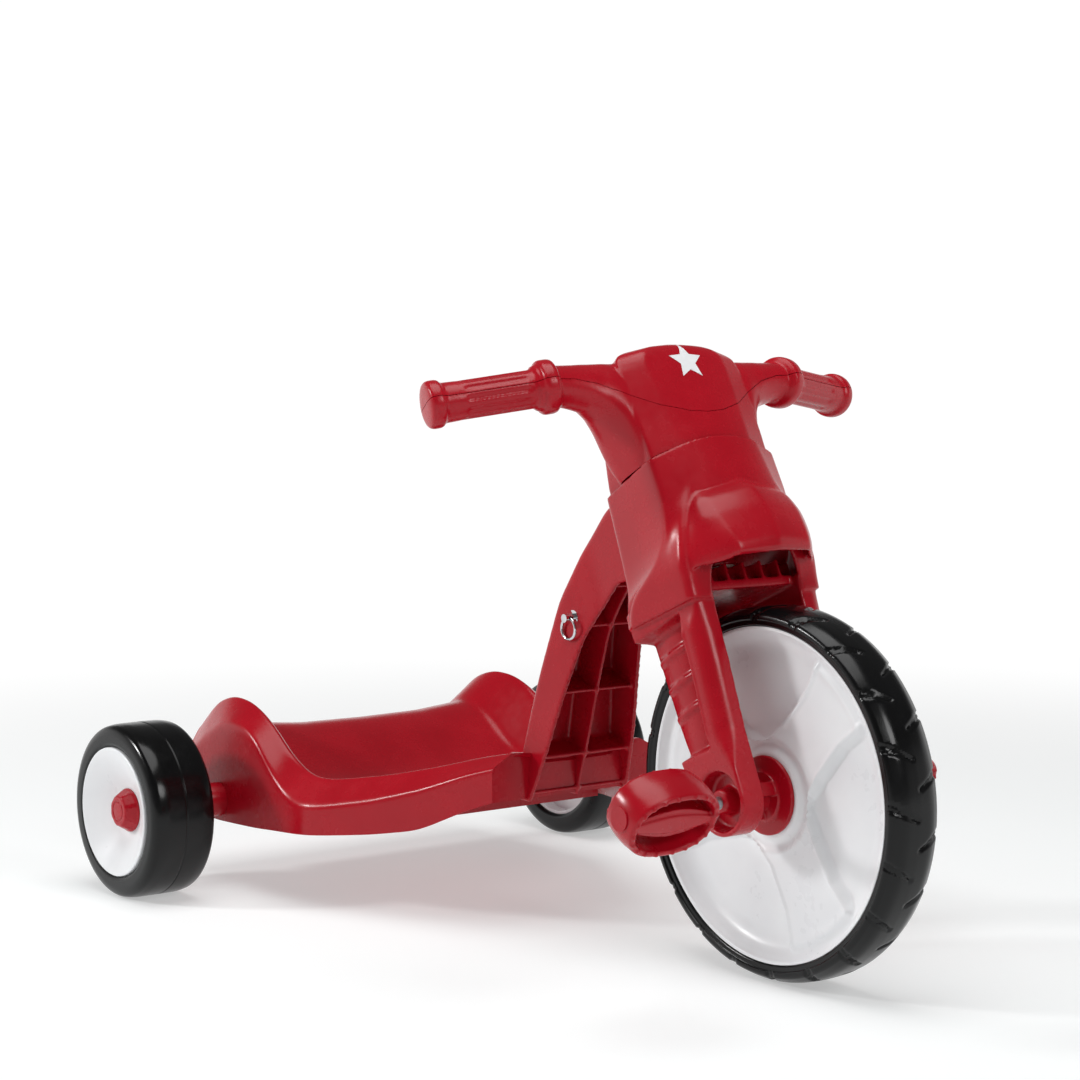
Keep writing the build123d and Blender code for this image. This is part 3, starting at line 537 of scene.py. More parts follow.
def makeRearDisc(side):
    face, bead = rearWheel["face"], rearWheel["bead"]
    low = face - rearWheel["dish"]
    ring = [(13.2, low), (26.0, low), (40.0, low + 7.0), (54.0, face - 4.2), (60.0, face - 1.0),
        (62.4, face), (bead - 0.2, face - 0.9),
            (bead - 0.2, face - 7.0), (60.5, face - 7.0), (54.0, face - 7.4), (40.0, low + 4.0),
            (26.0, low - 3.0), (13.2, low - 3.0)]
    profile = corners(ring, [0.4, 6, 10, 8, 3, 0.8, 0.6, 0.4, 1, 6, 8, 6, 0.4], 8, closed=True)
    return spun(profile, rearCentre, side, segments=180)


hubCap = {"base": 21.5, "shoulder": 20.6, "face": 14.2, "length": 13.0, "sides": 8}


def makeHubCap(side):
    # eight flats that fade into a round foot; the face is flat with a sunk ring
    low = rearWheel["face"] - rearWheel["dish"]
    c = hubCap
    ring = [(11.0, low - 2.9), (12.9, low - 2.9), (12.9, low + 0.1), (c["base"], low + 0.1),
        (c["base"], low + 1.6), (c["shoulder"], low + 3.2),
            (c["face"] + 1.2, low + c["length"] - 0.9), (c["face"], low + c["length"]),
            (10.6, low + c["length"]), (10.0, low + c["length"] - 0.7),
            (9.2, low + c["length"] - 0.7), (8.6, low + c["length"]), (0.01, low + c["length"]),
            (0.01, low + c["length"] - 2.5), (11.0, low + c["length"] - 3.5)]
    profile = corners(ring, [0.3, 0.3, 0.3, 0.6, 0.8, 0.8, 0.9, 0.7, 0.3, 0.3, 0.3, 0.3, 0, 0, 1], 5,
        closed=True)

    def flats(angle, radius, across):
        sector = 2 * np.pi / c["sides"]
        turn = (angle + sector / 2) % sector - sector / 2
        cut = np.cos(sector / 2) / np.cos(turn) / (0.5 + 0.5 * np.cos(sector / 2))
        amount = step(across, low + 1.6, low + 3.4) * step(radius, 12.5, 13.5)
        return radius * (1 + (np.minimum(cut, 1.0) - 1) * amount), across + 0 * turn

    return spun(profile, rearCentre, side, segments=288, wave=flats)


for name, side in sides.items():
    body = f"rear_wheel_{name}"
    makePiece(f"rearTyre_{name}", [makeRearTyre(side)], body, blackTyrePlastic,
        [f"rear_tyre_{name}"], 45)
    makePiece(f"rearDisc_{name}", [makeRearDisc(side)], body, whitePolypropylene,
        [f"rear_disc_{name}"], 45)
    makePiece(f"hubCap_{name}", [makeHubCap(side)], body, redPolyethylene,
        [f"rear_hub_cap_{name}"], 24)
print("rear wheels done")


# fork: fairing, nose, crown and legs in the steering frame

fork = {
    "wall": 4.0, "seamFront": 312.9, "seamCrease": 301.6, "seamBack": 296.0, "foot": 170.0, "lipRoll": 6.0,
    "archRise": 58.0, "archHalf": 52.0, "crown": 178.0, "plate": 8.0,
    "legInner": 50.0, "legOuter": 75.0, "legStrip": 24.0, "legRound": 17.0, "hubRadius": 30.0,
    "axleBack": -10.0, "voxel": 1.3, "rounds": 5, "keep": 0.5,
}
# height, half width, crease back, corner across, corner back, front, half width at the back, back
fairingSlices = np.array([
    (168.0, 78.5, 30.0, 72.5, -44.0, -46.0, 74.0, 41.0),
    (180.0, 79.3, 27.0, 73.0, -45.0, -47.5, 71.0, 41.0),
    (188.0, 79.6, 21.0, 73.5, -46.0, -50.0, 69.0, 41.0),
    (195.0, 79.3, 12.0, 74.0, -47.0, -53.0, 67.0, 41.0),
    (203.0, 77.6, -5.0, 73.6, -48.3, -57.0, 64.5, 41.0),
    (212.0, 75.4, -20.0, 71.6, -48.8, -60.0, 63.0, 41.0),
    (228.0, 71.8, -33.0, 66.6, -49.8, -62.0, 62.0, 41.0),
    (246.0, 69.5, -38.0, 58.4, -50.8, -62.0, 61.0, 41.0),
    (265.0, 68.3, -40.5, 46.5, -52.5, -61.0, 60.0, 41.0),
    (304.0, 68.0, -38.3, 40.0, -50.7, -57.0, 58.0, 41.0),
])


def seamHeight(back):
    # the seam between fairing and handlebar: arched over the front, falling gently along the sides
    return np.interp(back, [-57.0, -38.3, 42.0], [fork["seamFront"], fork["seamCrease"], fork["seamBack"]])


def headRows(slices, height, softness):
    # slices of the head at each height, from the back's middle round the left to the front and on
    half, creaseBack, cornerX, cornerY, front, backHalf, back = (
        soften(np.interp(height, slices[:, 0], slices[:, k]), softness)[:, None] for k in range(1, 8))
    share = np.linspace(0, 1, 30)[None]
    rear = np.stack([backHalf * share, back + 0 * share], -1)
    side = np.stack([backHalf + (half - backHalf) * share, back + (creaseBack - back) * share], -1)
    strip = np.stack([half + (cornerX - half) * share, creaseBack + (cornerY - creaseBack) * share], -1)
    power = 2 + 3 * (front > cornerY)
    bow = np.stack([cornerX * (1 - share), front + (cornerY - front) * (1 - share) ** power], -1)
    left = np.concatenate([rear[:, :-1], side[:, :-1], strip[:, :-1], bow], 1)
    rows = np.concatenate([left, left[:, -2::-1] * [-1, 1]], 1)
    rows = np.concatenate([rows[:, :1], soften(rows, 1.1, 1)[:, 1:-1], rows[:, -1:]], 1)
    return np.concatenate([rows, np.broadcast_to(height[:, None, None], rows[..., :1].shape)], -1)


def fairingSheet():
    rows = headRows(fairingSlices, np.linspace(fork["foot"], 304.0, 96), 2.2)
    share = (rows[..., 2] - fork["foot"]) / (304.0 - fork["foot"])
    rows[..., 2] = fork["foot"] + share * (seamHeight(rows[..., 1]) - 0.5 - fork["foot"])
    rows = rows[:, 22:-22]
    # a half-round arch is cut up into the front, over the wheel
    arch = fork["archRise"] * np.sqrt(np.clip(1 - (rows[0, :, 0] / fork["archHalf"]) ** 2, 0, 1))
    arch = arch * (rows[0, :, 1] < -30)
    spots = arch / (304.0 - fork["foot"]) * (len(rows) - 1)
    spots = spots + (len(rows) - 1 - spots) * np.linspace(0, 1, len(rows))[:, None]
    low = np.minimum(spots.astype(int), len(rows) - 2)
    part = (spots - low)[..., None]
    column = np.arange(rows.shape[1])[None]
    return rows[low, column] * (1 - part) + rows[low + 1, column] * part


def noseSheet():
    down = np.linspace(0, 1, 70)
    knots = np.array([0, 0.25, 0.5, 0.75, 0.93, 1.0])
    centre = ([0, 0, 0, 0, 0, 0], [-61, -76, -84, -89, -91.5, -90.5], [272, 258, 238, 217, 204, 200])
    crease = ([44, 46.5, 46.5, 44, 41, 40.5], [-54, -67, -76, -82.5, -86.5, -86],
        [266, 253, 236, 217, 204, 200])
    edge = ([47, 59, 67, 72, 74, 73.5], [-51, -50.5, -49.5, -48.5, -48, -47.4],
        [263, 247, 229, 212, 200, 195])
    hidden = ([40, 53, 62, 68, 70, 69.5], [-46, -45.5, -45, -44.5, -44, -43],
        [262, 246, 228, 212, 200, 195])
    lines = []
    for corner in (hidden, edge, crease, centre):
        lines.append(np.stack([soften(np.interp(down, knots, line), 3.0) for line in corner], -1))
    share = np.linspace(0, 1, 34)[None, :, None]
    spans = [lines[k][:, None] + (lines[k + 1] - lines[k])[:, None] * share for k in range(3)]
    swell = np.sin(np.pi * share[..., 0]) * (0.3 + 0.7 * np.sin(np.pi * down))[:, None]
    spans[1][..., 1] -= 3.4 * swell
    spans[1][..., 0] += 2.6 * swell
    bulge = (0.35 + 0.65 * np.sin(np.pi * down))[:, None]
    spans[2][..., 1] -= 3.6 * np.sin(np.pi * share[..., 0] / 2) * bulge
    left = np.concatenate([spans[0][:, :-1], spans[1][:, :-1], spans[2]], 1)
    rows = np.concatenate([left, left[:, -2::-1] * [-1, 1, 1]], 1)
    rows = soften(rows, 1.3, 1)
    # the lower edge is rolled in by a quarter turn
    turn = np.linspace(0, np.pi / 2, 9)[1:, None, None]
    radius = np.clip((-46 - rows[-1, :, 1]) / 30, 0, 1)[:, None] * fork["lipRoll"]
    lip = rows[-1] + np.concatenate([0 * radius, radius, 0 * radius], 1) * (1 - np.cos(turn))
    lip[..., 2] -= (radius * np.sin(turn))[..., 0]
    return np.concatenate([rows, lip])


def forkLeg(side):
    # a beam from the hub to the crown: rows go up, columns go round the section
    height = np.concatenate([-30 + 30 * (1 - np.cos(np.linspace(0.05, np.pi / 2, 16))),
        np.linspace(1.5, 184, 130)])
    hub, axle = fork["hubRadius"], fork["axleBack"]
    curve = np.sqrt(np.clip(hub ** 2 - np.minimum(height, 0) ** 2, 0, None))
    front = np.where(height < 0, axle - curve, np.interp(height, [0, 56, 113, 162, 184],
        [axle - hub, -40.3, -44.5, -46.8, -48.3]))
    back = np.where(height < 0, axle + curve, np.interp(height, [0, 40, 80, 115, 150, 184],
        [axle + hub, 24.0, 33.0, 37.5, 39.0, 41.0]))
    share = 0.5 - 0.5 * np.cos(np.linspace(0, np.pi, 90))[None]
    y = front[:, None] + (back - front)[:, None] * share
    z = np.broadcast_to(height[:, None], y.shape)
    fromFront = y - front[:, None]
    strip = fork["legStrip"]
    top = 166.0 - 0.12 * (y + 20)
    pocket = step(fromFront, strip, strip + 2.0) * step(z, 44, 50) * (1 - step(z, top - 5, top))
    middle, reach = 10.0 + 0.02 * (z - 100), 26.0 + 0.03 * (z - 100)
    barrel = np.sqrt(np.clip(1 - ((y - middle) / reach) ** 2, 0, 1))
    bands = sum(1 - step(np.abs(z - at + 0.15 * (y - 10)), 2.2, 3.6) for at in (137.0, 111.0, 85.0))
    floor = 52.5 + 11.5 * barrel + 2.4 * bands * step(barrel, 0.5, 0.7)
    rimLine = 1 - step(np.abs(fromFront - strip + 1.6), 0.7, 1.5)
    rimLine = rimLine * step(z, 52, 58) * (1 - step(z, 148, 154))
    flare = np.interp(height, [0, 140, 166, 184], [0, 0.5, 3.0, 3.0])[:, None]
    outer = fork["legOuter"] + flare + 1.2 * rimLine
    # the front edge is a quarter round, full size above the hub
    corner = fork["legRound"] * step(z, 10, 60)
    inset = np.clip(corner - fromFront, 0, None)
    outer = outer - corner + np.sqrt(np.clip(corner ** 2 - inset ** 2, 0, None))
    skirt = np.interp(y, [-46.0, 28.0], [71.5, 78.5]) - 0.8
    outer = outer + (np.minimum(outer, skirt) - outer) * step(z, 140, 168)
    fromAxle = np.hypot(y - axle, z)
    outer = outer - 14.0 * (1 - step(fromAxle, 24.0, 26.0)) * step(fromAxle, 10.5, 11.5)
    outer = outer * (1 - pocket) + floor * pocket
    inner = np.full_like(y, fork["legInner"])
    loop = np.concatenate([np.stack([outer, y, z], -1), np.stack([inner, y, z], -1)[:, ::-1]], 1)
    loop[..., 0] *= side
    return capped(loop)


def atHeight(flat, z):
    # a flat outline lifted to one height
    return np.concatenate([flat, np.full((len(flat), 1), z)], -1)


def drum(radius, low, high, x=0.0, y=0.0, segments=64):
    # an upright cylinder
    angle = circle(segments)
    ring = np.stack([x + radius * np.cos(angle), y + radius * np.sin(angle)], -1)
    centre = np.broadcast_to([x, y], ring.shape)
    layers = [(centre, low), (ring, low), (ring, high), (centre, high)]
    return sheet(np.stack([atHeight(flat, z) for flat, z in layers]), wrapColumns=True)


def makeFork():
    parts = [thickSheet(np.swapaxes(fairingSheet(), 0, 1), fork["wall"]),
        thickSheet(np.swapaxes(noseSheet(), 0, 1), 3.6)]
    parts += [forkLeg(side) for side in (-1, 1)]
    low, high = fork["crown"], fork["crown"] + fork["plate"]
    parts.append(slab((-74, -40, low), (74, 37, high)))
    parts.append(slab((-52, 32, low - 17), (52, 37, high)))
    for x in (-40.0, -20.0, 0.0, 20.0, 40.0):
        parts.append(slab((x - 1.5, -40, high - 1), (x + 1.5, 34, high + 16)))
    for y in (-24.0, -2.0, 20.0):
        parts.append(slab((-66, y - 1.5, high - 1), (66, y + 1.5, high + 16)))
    parts.append(drum(20.0, low, 202.6))
    item = fused("forkFairing", parts, fork["voxel"], fork["rounds"], fork["keep"])
    reposition(item, steered)
    return finishPiece(item, "fork", redPolyethylene, ["fork"])


makeFork()
print("fork done")


# handlebar: one closed body, cut along the parting line into two shells

handlebar = {
    "collarX": 137.0, "collarY": -8.0, "collarZ": 383.0, "sweep": math.radians(19.4),
    "flutes": 10, "fluteDepth": 1.5, "shell": 3.0, "voxel": 1.25, "rounds": 4,
}
# height, half width, crease back, corner across, corner back, front, half width at the back, back
headSlices = np.array([
    (286.0, 68.0, -39.0, 42.0, -51.5, -58.5, 58.5, 41.0),
    (304.0, 68.0, -38.3, 40.0, -50.7, -57.0, 58.0, 41.0),
    (340.0, 69.5, -36.0, 42.0, -46.0, -51.0, 54.0, 38.0),
    (365.0, 70.5, -34.0, 44.0, -43.0, -47.0, 52.0, 34.0),
    (388.0, 70.5, -30.5, 45.0, -40.0, -43.5, 50.0, 29.0),
    (398.0, 69.0, -28.5, 44.0, -38.5, -42.0, 48.0, 25.0),
    (404.5, 62.0, -25.5, 40.0, -36.5, -40.0, 43.0, 20.0),
    (409.5, 48.0, -20.5, 31.0, -33.0, -36.5, 34.0, 12.0),
    (413.2, 24.0, -15.0, 16.0, -26.0, -29.0, 17.0, 2.0),
])


def headSolid(low):
    dome = 394 + 19.5 * np.sin(np.linspace(0.04, np.pi / 2, 30))
    height = np.concatenate([np.linspace(low, 394, 66), dome])
    rows = headRows(headSlices, height, 1.6)
    return capped(rows[:, :-1])


def barRoot(side):
    # ellipses from inside the head to the collar; the top stays level while the underside sweeps down
    x = np.linspace(40, 140, 120)
    knots = [40, 64, 68, 71, 74, 79, 88, 100, 120, 140]
    tall = soften(np.interp(x, knots, [58, 55, 51, 45, 38, 32, 25.6, 21.2, 18.6, 18]), 2.5)[:, None]
    deep = soften(np.interp(x, knots, [30, 30, 29.5, 29, 28, 26, 22.5, 19.5, 18, 18]), 3)[:, None]
    middle = np.interp(x, [40, 72, 100, 140], [-5, -6, -9, -8])[:, None]
    angle = circle(96)[None]
    square = np.interp(x, [60, 80, 110, 140], [0.62, 0.72, 1.0, 1.0])[:, None]
    c, s = np.cos(angle), np.sin(angle)
    y = middle + deep * np.sign(c) * np.abs(c) ** square
    z = 401.5 - tall + tall * np.sign(s) * np.abs(s) ** np.where(s > 0, 1.0, square)
    ring = np.stack([np.broadcast_to(x[:, None], y.shape), y, z], -1)
    ring[..., 0] *= side
    return capped(ring)


def gripSolid(side):
    h = handlebar
    profile = np.array([
        (-9.2, 15), (-9, 19), (-7.5, 21.5), (-6.5, 23.2), (-3.5, 24), (3.5, 24), (6.0, 23), (7.0, 20.4),
        (10.5, 19.6), (12.0, 17.4), (14.0, 17),
        (80.0, 17), (82.0, 17.2), (94.5, 17.6), (96.0, 18.6), (97.5, 20.6), (100, 21), (105, 21),
        (107.5, 20.2), (109, 18.6), (109.8, 15), (110.3, 9)])
    run = np.concatenate([np.linspace(a, b, max(2, int(abs(b - a) / 0.9)), endpoint=False)
                          for a, b in zip(profile[:-1, 0], profile[1:, 0])] + [profile[-1:, 0]])
    rise = np.interp(run, profile[:, 0], profile[:, 1])
    angle = circle(180)
    cut = np.clip(np.cos(h["flutes"] * angle), 0, 1) ** 0.7
    end = np.minimum(run - 17, 77 - run)
    fade = np.sqrt(np.clip(end / 4, 0, 1))
    radius = rise[:, None] - h["fluteDepth"] * cut[None] * fade[:, None]
    way = np.array([math.cos(h["sweep"]), math.sin(h["sweep"]), 0])
    back = np.array([-math.sin(h["sweep"]), math.cos(h["sweep"]), 0])
    start = np.array([h["collarX"], h["collarY"], h["collarZ"]])
    points = start + run[:, None, None] * way + radius[..., None] * (
        np.cos(angle)[None, :, None] * [0, 0, 1.0] + np.sin(angle)[None, :, None] * back)
    points[..., 0] *= side
    return capped(points)


def partingHeight(x):
    # the line between the shells: level along the bars, dipping round the front of the head
    return np.interp(np.abs(x), [0, 20, 45, 70, 95, 118, 137], [339, 341, 349, 363.5, 376.5, 382.5, 383])


def shifted(height, along, turn):
    # moves points up or down so that a curved cut becomes the plane at height zero, or back again
    def move(points):
        points = points.copy()
        points[:, 2] += turn * height(points[:, along])
        return points
    return move


def curvedCut(item, height, along, keepAbove, gap):
    reposition(item, shifted(height, along, -1))
    trim(item, Vector((0, 0, gap * mm * (1 if keepAbove else -1))), Vector((0, 0, -1 if keepAbove else 1)))
    reposition(item, shifted(height, along, 1))


def halved(source, name, keepAbove):
    # one side of the parting line, as an open skin made into a wall
    item = placed(name, source.data.copy())
    if not keepAbove:
        curvedCut(item, seamHeight, 1, True, 0.5)
    curvedCut(item, partingHeight, 0, keepAbove, 0.3)
    thick = item.modifiers.new("wall", "SOLIDIFY")
    thick.thickness, thick.offset = handlebar["shell"] * mm, -1
    applied(item)
    return item


def trim(item, place, outwards):
    work = bmesh.new()
    work.from_mesh(item.data)
    everything = list(work.verts) + list(work.edges) + list(work.faces)
    bmesh.ops.bisect_plane(work, geom=everything, plane_co=place, plane_no=outwards, clear_outer=True)
    work.to_mesh(item.data)
    work.free()


star = {"radius": 19.0, "inner": 0.46, "height": 391.0, "lift": 0.25, "film": 0.3}


def makeStar(target):
    # a five-pointed star laid on the front of the dome
    turn = circle(200)
    wave = np.abs((turn * 5 / (2 * np.pi)) % 1 - 0.5) * 2
    tip, notch, half = 1.0, star["inner"], np.pi / 5
    along = (1 - wave) * half
    edge = tip * notch * math.sin(half) / (notch * np.sin(half - along) + tip * np.sin(along))
    rings = np.linspace(0.0, 1.0, 26)[:, None] * edge * star["radius"]
    points = np.stack([rings * np.sin(turn), np.full(rings.shape, -90.0),
        star["height"] + rings * np.cos(turn)], -1)
    item = placed("dome_star", toMesh("dome_star", *sheet(points, wrapColumns=True)))
    lay = item.modifiers.new("lay", "SHRINKWRAP")
    lay.target, lay.wrap_method, lay.use_project_y, lay.offset = target, "PROJECT", True, star["lift"] * mm
    lay.use_positive_direction, lay.use_negative_direction = True, False
    film = item.modifiers.new("film", "SOLIDIFY")
    film.thickness, film.offset = star["film"] * mm, 0
    applied(item)
    reposition(item, steered)
    finishPiece(item, "fork", whiteInk)


def makeHandlebar():
    parts = [headSolid(287.0)]
    for side in (-1, 1):
        parts += [barRoot(side), gripSolid(side)]
    whole = fused("handlebarWhole", parts, handlebar["voxel"], handlebar["rounds"])
    for part, above in (("Upper", True), ("Lower", False)):
        item = halved(whole, f"handlebar{part}", above)
        reposition(item, steered)
        finishPiece(item, "fork", redPolyethylene, [f"handlebar_{part.lower()}"], sharp=50)
    makeStar(whole)
    bpy.data.objects.remove(whole)


makeHandlebar()
print("handlebar done")


# pedals

pedal = {"length": 92.0, "width": 66.0, "height": 36.0, "rim": 8.0, "tilt": 120.0, "nibs": 20,
    "voxel": 0.95, "rounds": 3}


def ovalRing(angle, shrink=0.0):
    # a superellipse, a little squarer than an ellipse
    power = 2 / 2.35
    c, s = np.cos(angle), np.sin(angle)
    return np.stack([(pedal["length"] / 2 - shrink) * np.sign(c) * np.abs(c) ** power,
                     (pedal["width"] / 2 - shrink) * np.sign(s) * np.abs(s) ** power], -1)


def pedalSolid():
    angle = circle(160)
    half = pedal["height"] / 2
    wide = pedal["rim"]
    section = [(2.2, -half), (0.0, 0.0), (2.2, half),
               (wide - 0.6, half), (wide + 0.6, 0.0), (wide - 0.6, -half)]
    section = corners(section, [3.0, 14, 3.0, 1.4, 6, 1.4], 7, closed=True)
    rim = np.stack([atHeight(ovalRing(angle, shrink), z) for shrink, z in section], 1)
    parts = [sheet(rim, wrapRows=True, wrapColumns=True)]
    run = np.linspace(-41, 41, 45)
    swell = 5.5 + 8.0 * np.cos(run / 41 * np.pi / 2) ** 1.2
    for tall, scale in ((half - 4.5, 1.0), (half - 2.4, 0.6)):
        edge = np.stack([run, swell * scale], -1)
        ring = np.concatenate([edge, edge[::-1] * [1, -1]])
        layers = [(ring * 0.02, -tall), (ring, -tall), (ring, tall), (ring * 0.02, tall)]
        parts.append(sheet(np.stack([atHeight(flat, z) for flat, z in layers]), wrapColumns=True))
    for z in (-half, half):
        for k in range(pedal["nibs"]):
            x, y = ovalRing(np.array([2 * np.pi * (k + 0.5) / pedal["nibs"]]), pedal["rim"] / 2 + 0.8)[0]
            parts.append(drum(1.6, z - 1.4, z + 1.4, x, y, 14))
    return parts


def pedalPlace(name):
    spindle = np.array(joints[f"pedal_{name}_spin"]["pos_m"]) / mm
    low, high = (np.array(corner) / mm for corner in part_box(f"pedal_{name}"))
    tilt = math.radians(pedal["tilt"])
    centre = np.array([(low[0] + high[0]) / 2, spindle[1], spindle[2]])
    cross = np.array([0, math.cos(tilt), math.sin(tilt)])
    normal = np.array([0, -math.sin(tilt), math.cos(tilt)])

    def move(points):
        return centre + points[:, :1] * [1.0, 0, 0] + points[:, 1:2] * cross + points[:, 2:] * normal
    return move


def makePedals():
    whole = fused("pedalWhole", pedalSolid(), pedal["voxel"], pedal["rounds"])
    for name in sides:
        item = placed(f"pedal_{name}Moulded", whole.data.copy())
        reposition(item, pedalPlace(name))
        finishPiece(item, f"pedal_{name}", redPolyethylene, [f"pedal_{name}"])
    bpy.data.objects.remove(whole)


makePedals()
print("pedals done")


# seat body: slices across, from the front to the back

seatSlices = np.array([
    # back, half width, bottom, side crease, rail top, pan
    (10.0, 100.0, 122.0, 154.0, 167.0, 160.0),
    (36.0, 112.0, 112.0, 146.0, 162.0, 146.0),
    (82.0, 133.3, 89.0, 127.0, 149.0, 120.0),
    (132.0, 156.5, 80.0, 112.0, 137.0, 106.0),
    (184.0, 180.6, 74.0, 101.5, 128.0, 100.0),
    (200.0, 188.0, 73.0, 100.5, 127.0, 100.0),
    (227.0, 188.0, 71.0, 103.5, 130.0, 100.0),
    (258.0, 188.0, 69.0, 124.0, 145.0, 103.0),
    (282.0, 188.0, 67.0, 150.0, 165.0, 109.0),
    (305.0, 188.0, 66.0, 162.5, 179.0, 122.0),
    (332.0, 188.0, 65.0, 166.5, 188.5, 140.0),
    (364.0, 188.0, 64.0, 157.0, 190.5, 155.0),
    (396.0, 188.0, 66.0, 138.0, 181.5, 151.0),
    (431.5, 188.0, 74.0, 113.0, 151.0, 129.0),
])


def mirroredPath(half, count):
    # a left-to-right outline of count points, from one with its right part first and its middle last
    whole = np.concatenate([half * [-1, 1], half[:, -2::-1]], 1)
    spans = np.linspace(0, whole.shape[1] - 1, count)
    low = np.minimum(spans.astype(int), whole.shape[1] - 2)
    part = (spans - low)[None, :, None]
    return whole[:, low] * (1 - part) + whole[:, low + 1] * part


seat = {"rail": 24.0, "pan": 34.0, "wall": 4.0}


def makeSeat():
    y = np.linspace(seatSlices[0, 0], seatSlices[-1, 0], 130)
    half, bottom, crease, rail, pan = (
        soften(np.interp(y, seatSlices[:, 0], seatSlices[:, k]), 3.0) for k in range(1, 6))
    half = np.minimum(half, 188.0)
    zero = np.zeros_like(y)
    outline = np.stack([np.stack(pair, -1) for pair in (
        (half, bottom), (half, crease), (half - seat["rail"], rail),
        (half - seat["rail"] - seat["pan"], pan + 3),
        (half * 0.4, pan - 2.0), (zero, pan - 3.0))], 1)
    path = mirroredPath(outline, 351)
    path = np.concatenate([path[:, :1], soften(path, 3.2, 1)[:, 1:-1], path[:, -1:]], 1)
    rows = np.stack([path[..., 0], np.broadcast_to(y[:, None], path.shape[:2]), path[..., 1]], -1)
    return [thickSheet(rows[:, ::-1], seat["wall"])] + seatEnds(rows) + crossWalls() + axleBosses()


def seatEnds(rows):
    # flat walls that close the front and the back, from the skin down to the bottom edge
    walls = []
    for row, inwards in ((rows[0], 1), (rows[-1], -1)):
        floor = np.stack([row[:, 0], row[:, 1], np.full(len(row), row[0, 2])], -1)
        band = np.stack([row, floor], 0)
        face, back = band - [0, inwards * 0.5, 0], band + [0, inwards * seat["wall"], 0]
        walls.append(sheet(np.concatenate([face, back[::-1]]), wrapRows=True))
    return walls


def crossWalls():
    # walls under the pan and webs beside the axle, down to just above the seat's bottom edge
    places = ((138.0, 128.0, 86.0), (258.0, 136.0, 76.0))
    walls = [slab((-half, y, low), (half, y + seat["wall"], 99.0)) for y, half, low in places]
    webs = [slab((x - 2, 300, 76), (x + 2, 412, 116)) for x in (-110.0, 110.0)]
    return walls + webs


def axleBosses():
    # stubs that carry the axle from the seat's sides to the wheels
    outline = np.array([(9.6, 184.0), (17.0, 184.0), (17.0, 228.8), (16.2, 229.6), (9.6, 229.6)])
    return [spun(outline, rearCentre, side, segments=72) for side in (-1, 1)]


makePiece("seatMoulding", makeSeat(), "frame", redPolyethylene, ["seat_body"], 50)
print("seat done")


# neck: a channel open to the front, with ribs inside

neck = {"wall": 4.0, "voxel": 1.6, "rounds": 4, "keep": 0.7, "ribs": 6}
neckBack = np.array([(-140, 414), (-100, 405), (-69, 395), (-35, 354), (-9.5, 307), (8, 240), (19, 180),
    (24, 150), (24, 119)])
neckFront = np.array([(-166, 342), (-120, 336), (-84, 330), (-62, 303), (-44, 275), (-28, 225), (-12, 170),
    (-1, 138), (6, 119)])


def neckSides(count):
    spans = np.linspace(0, len(neckBack) - 1, count)
    knots = np.arange(len(neckBack))
    back = np.stack([soften(np.interp(spans, knots, neckBack[:, k]), count / 60) for k in (0, 1)], -1)
    front = np.stack([soften(np.interp(spans, knots, neckFront[:, k]), count / 60) for k in (0, 1)], -1)
    wide = np.interp((back[:, 1] + front[:, 1]) / 2, [119, 200, 292, 336, 400], [56, 46, 32, 24, 24])
    return back, front, soften(wide, count / 60)


def makeNeck():
    back, front, wide = neckSides(160)
    across = np.concatenate([np.full(40, -1.0), np.linspace(-1, 1, 40), np.full(40, 1.0)])
    share = np.concatenate([np.linspace(0, 1, 40), np.full(40, 1.0), np.linspace(1, 0, 40)])
    side = front[:, None] + (back - front)[:, None] * share[None, :, None]
    rows = np.concatenate([(wide[:, None] * across)[..., None], side], -1)
    rows = soften(rows, 1.6, 1)
    parts = [thickSheet(np.swapaxes(rows, 0, 1)[::-1], neck["wall"])]
    web = np.stack([front + (back - front) * 0.12, back - (back - front) * 0.02], 1)[30:]
    edges = ((-1.5, 0), (1.5, 0), (1.5, 1), (-1.5, 1))
    ring = np.stack([np.stack([np.full(len(web), x), *web[:, k].T], -1) for x, k in edges], 1)
    parts.append(capped(ring))
    for k in np.linspace(26, 152, neck["ribs"]).astype(int):
        low, high = front[k] + (back[k] - front[k]) * 0.16, back[k]
        normal = np.array([-(high - low)[1], (high - low)[0]])
        normal = normal / np.linalg.norm(normal) * 1.6
        flat = np.array([low + normal, high + normal, high - normal, low - normal])
        ends = [np.stack([np.full(4, x), flat[:, 0], flat[:, 1]], -1) for x in (-wide[k] + 1, wide[k] - 1)]
        parts.append(capped(np.stack(ends)))
    tubePoints, tubeFaces = drum(22.0, 206.2, 289.8)
    parts.append((steered(tubePoints), tubeFaces))
    item = fused("neckMoulding", parts, neck["voxel"], neck["rounds"], neck["keep"])
    return finishPiece(item, "frame", redPolyethylene, ["front_frame"])


makeNeck()
print("neck done")


# pull ring, crank rod and the parts that keep their shape

pullRing = {"wireRadius": 1.4, "wireSides": 20, "segments": 96}


def makeRing():
    # a circle of wire carried round the pin's eye
    low, high = (np.array(corner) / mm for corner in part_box("pin_ring"))
    wire = pullRing["wireRadius"]
    middle = (high[2] - low[2]) / 2 - wire
    angle = circle(pullRing["wireSides"])
    outline = np.stack([middle - wire * np.cos(angle), wire * np.sin(angle)], -1)
    return spun(outline, (low + high) / 2, segments=pullRing["segments"])


makePiece("pullRing", [makeRing()], "pin_ring", chromeWire, ["pin_ring"])

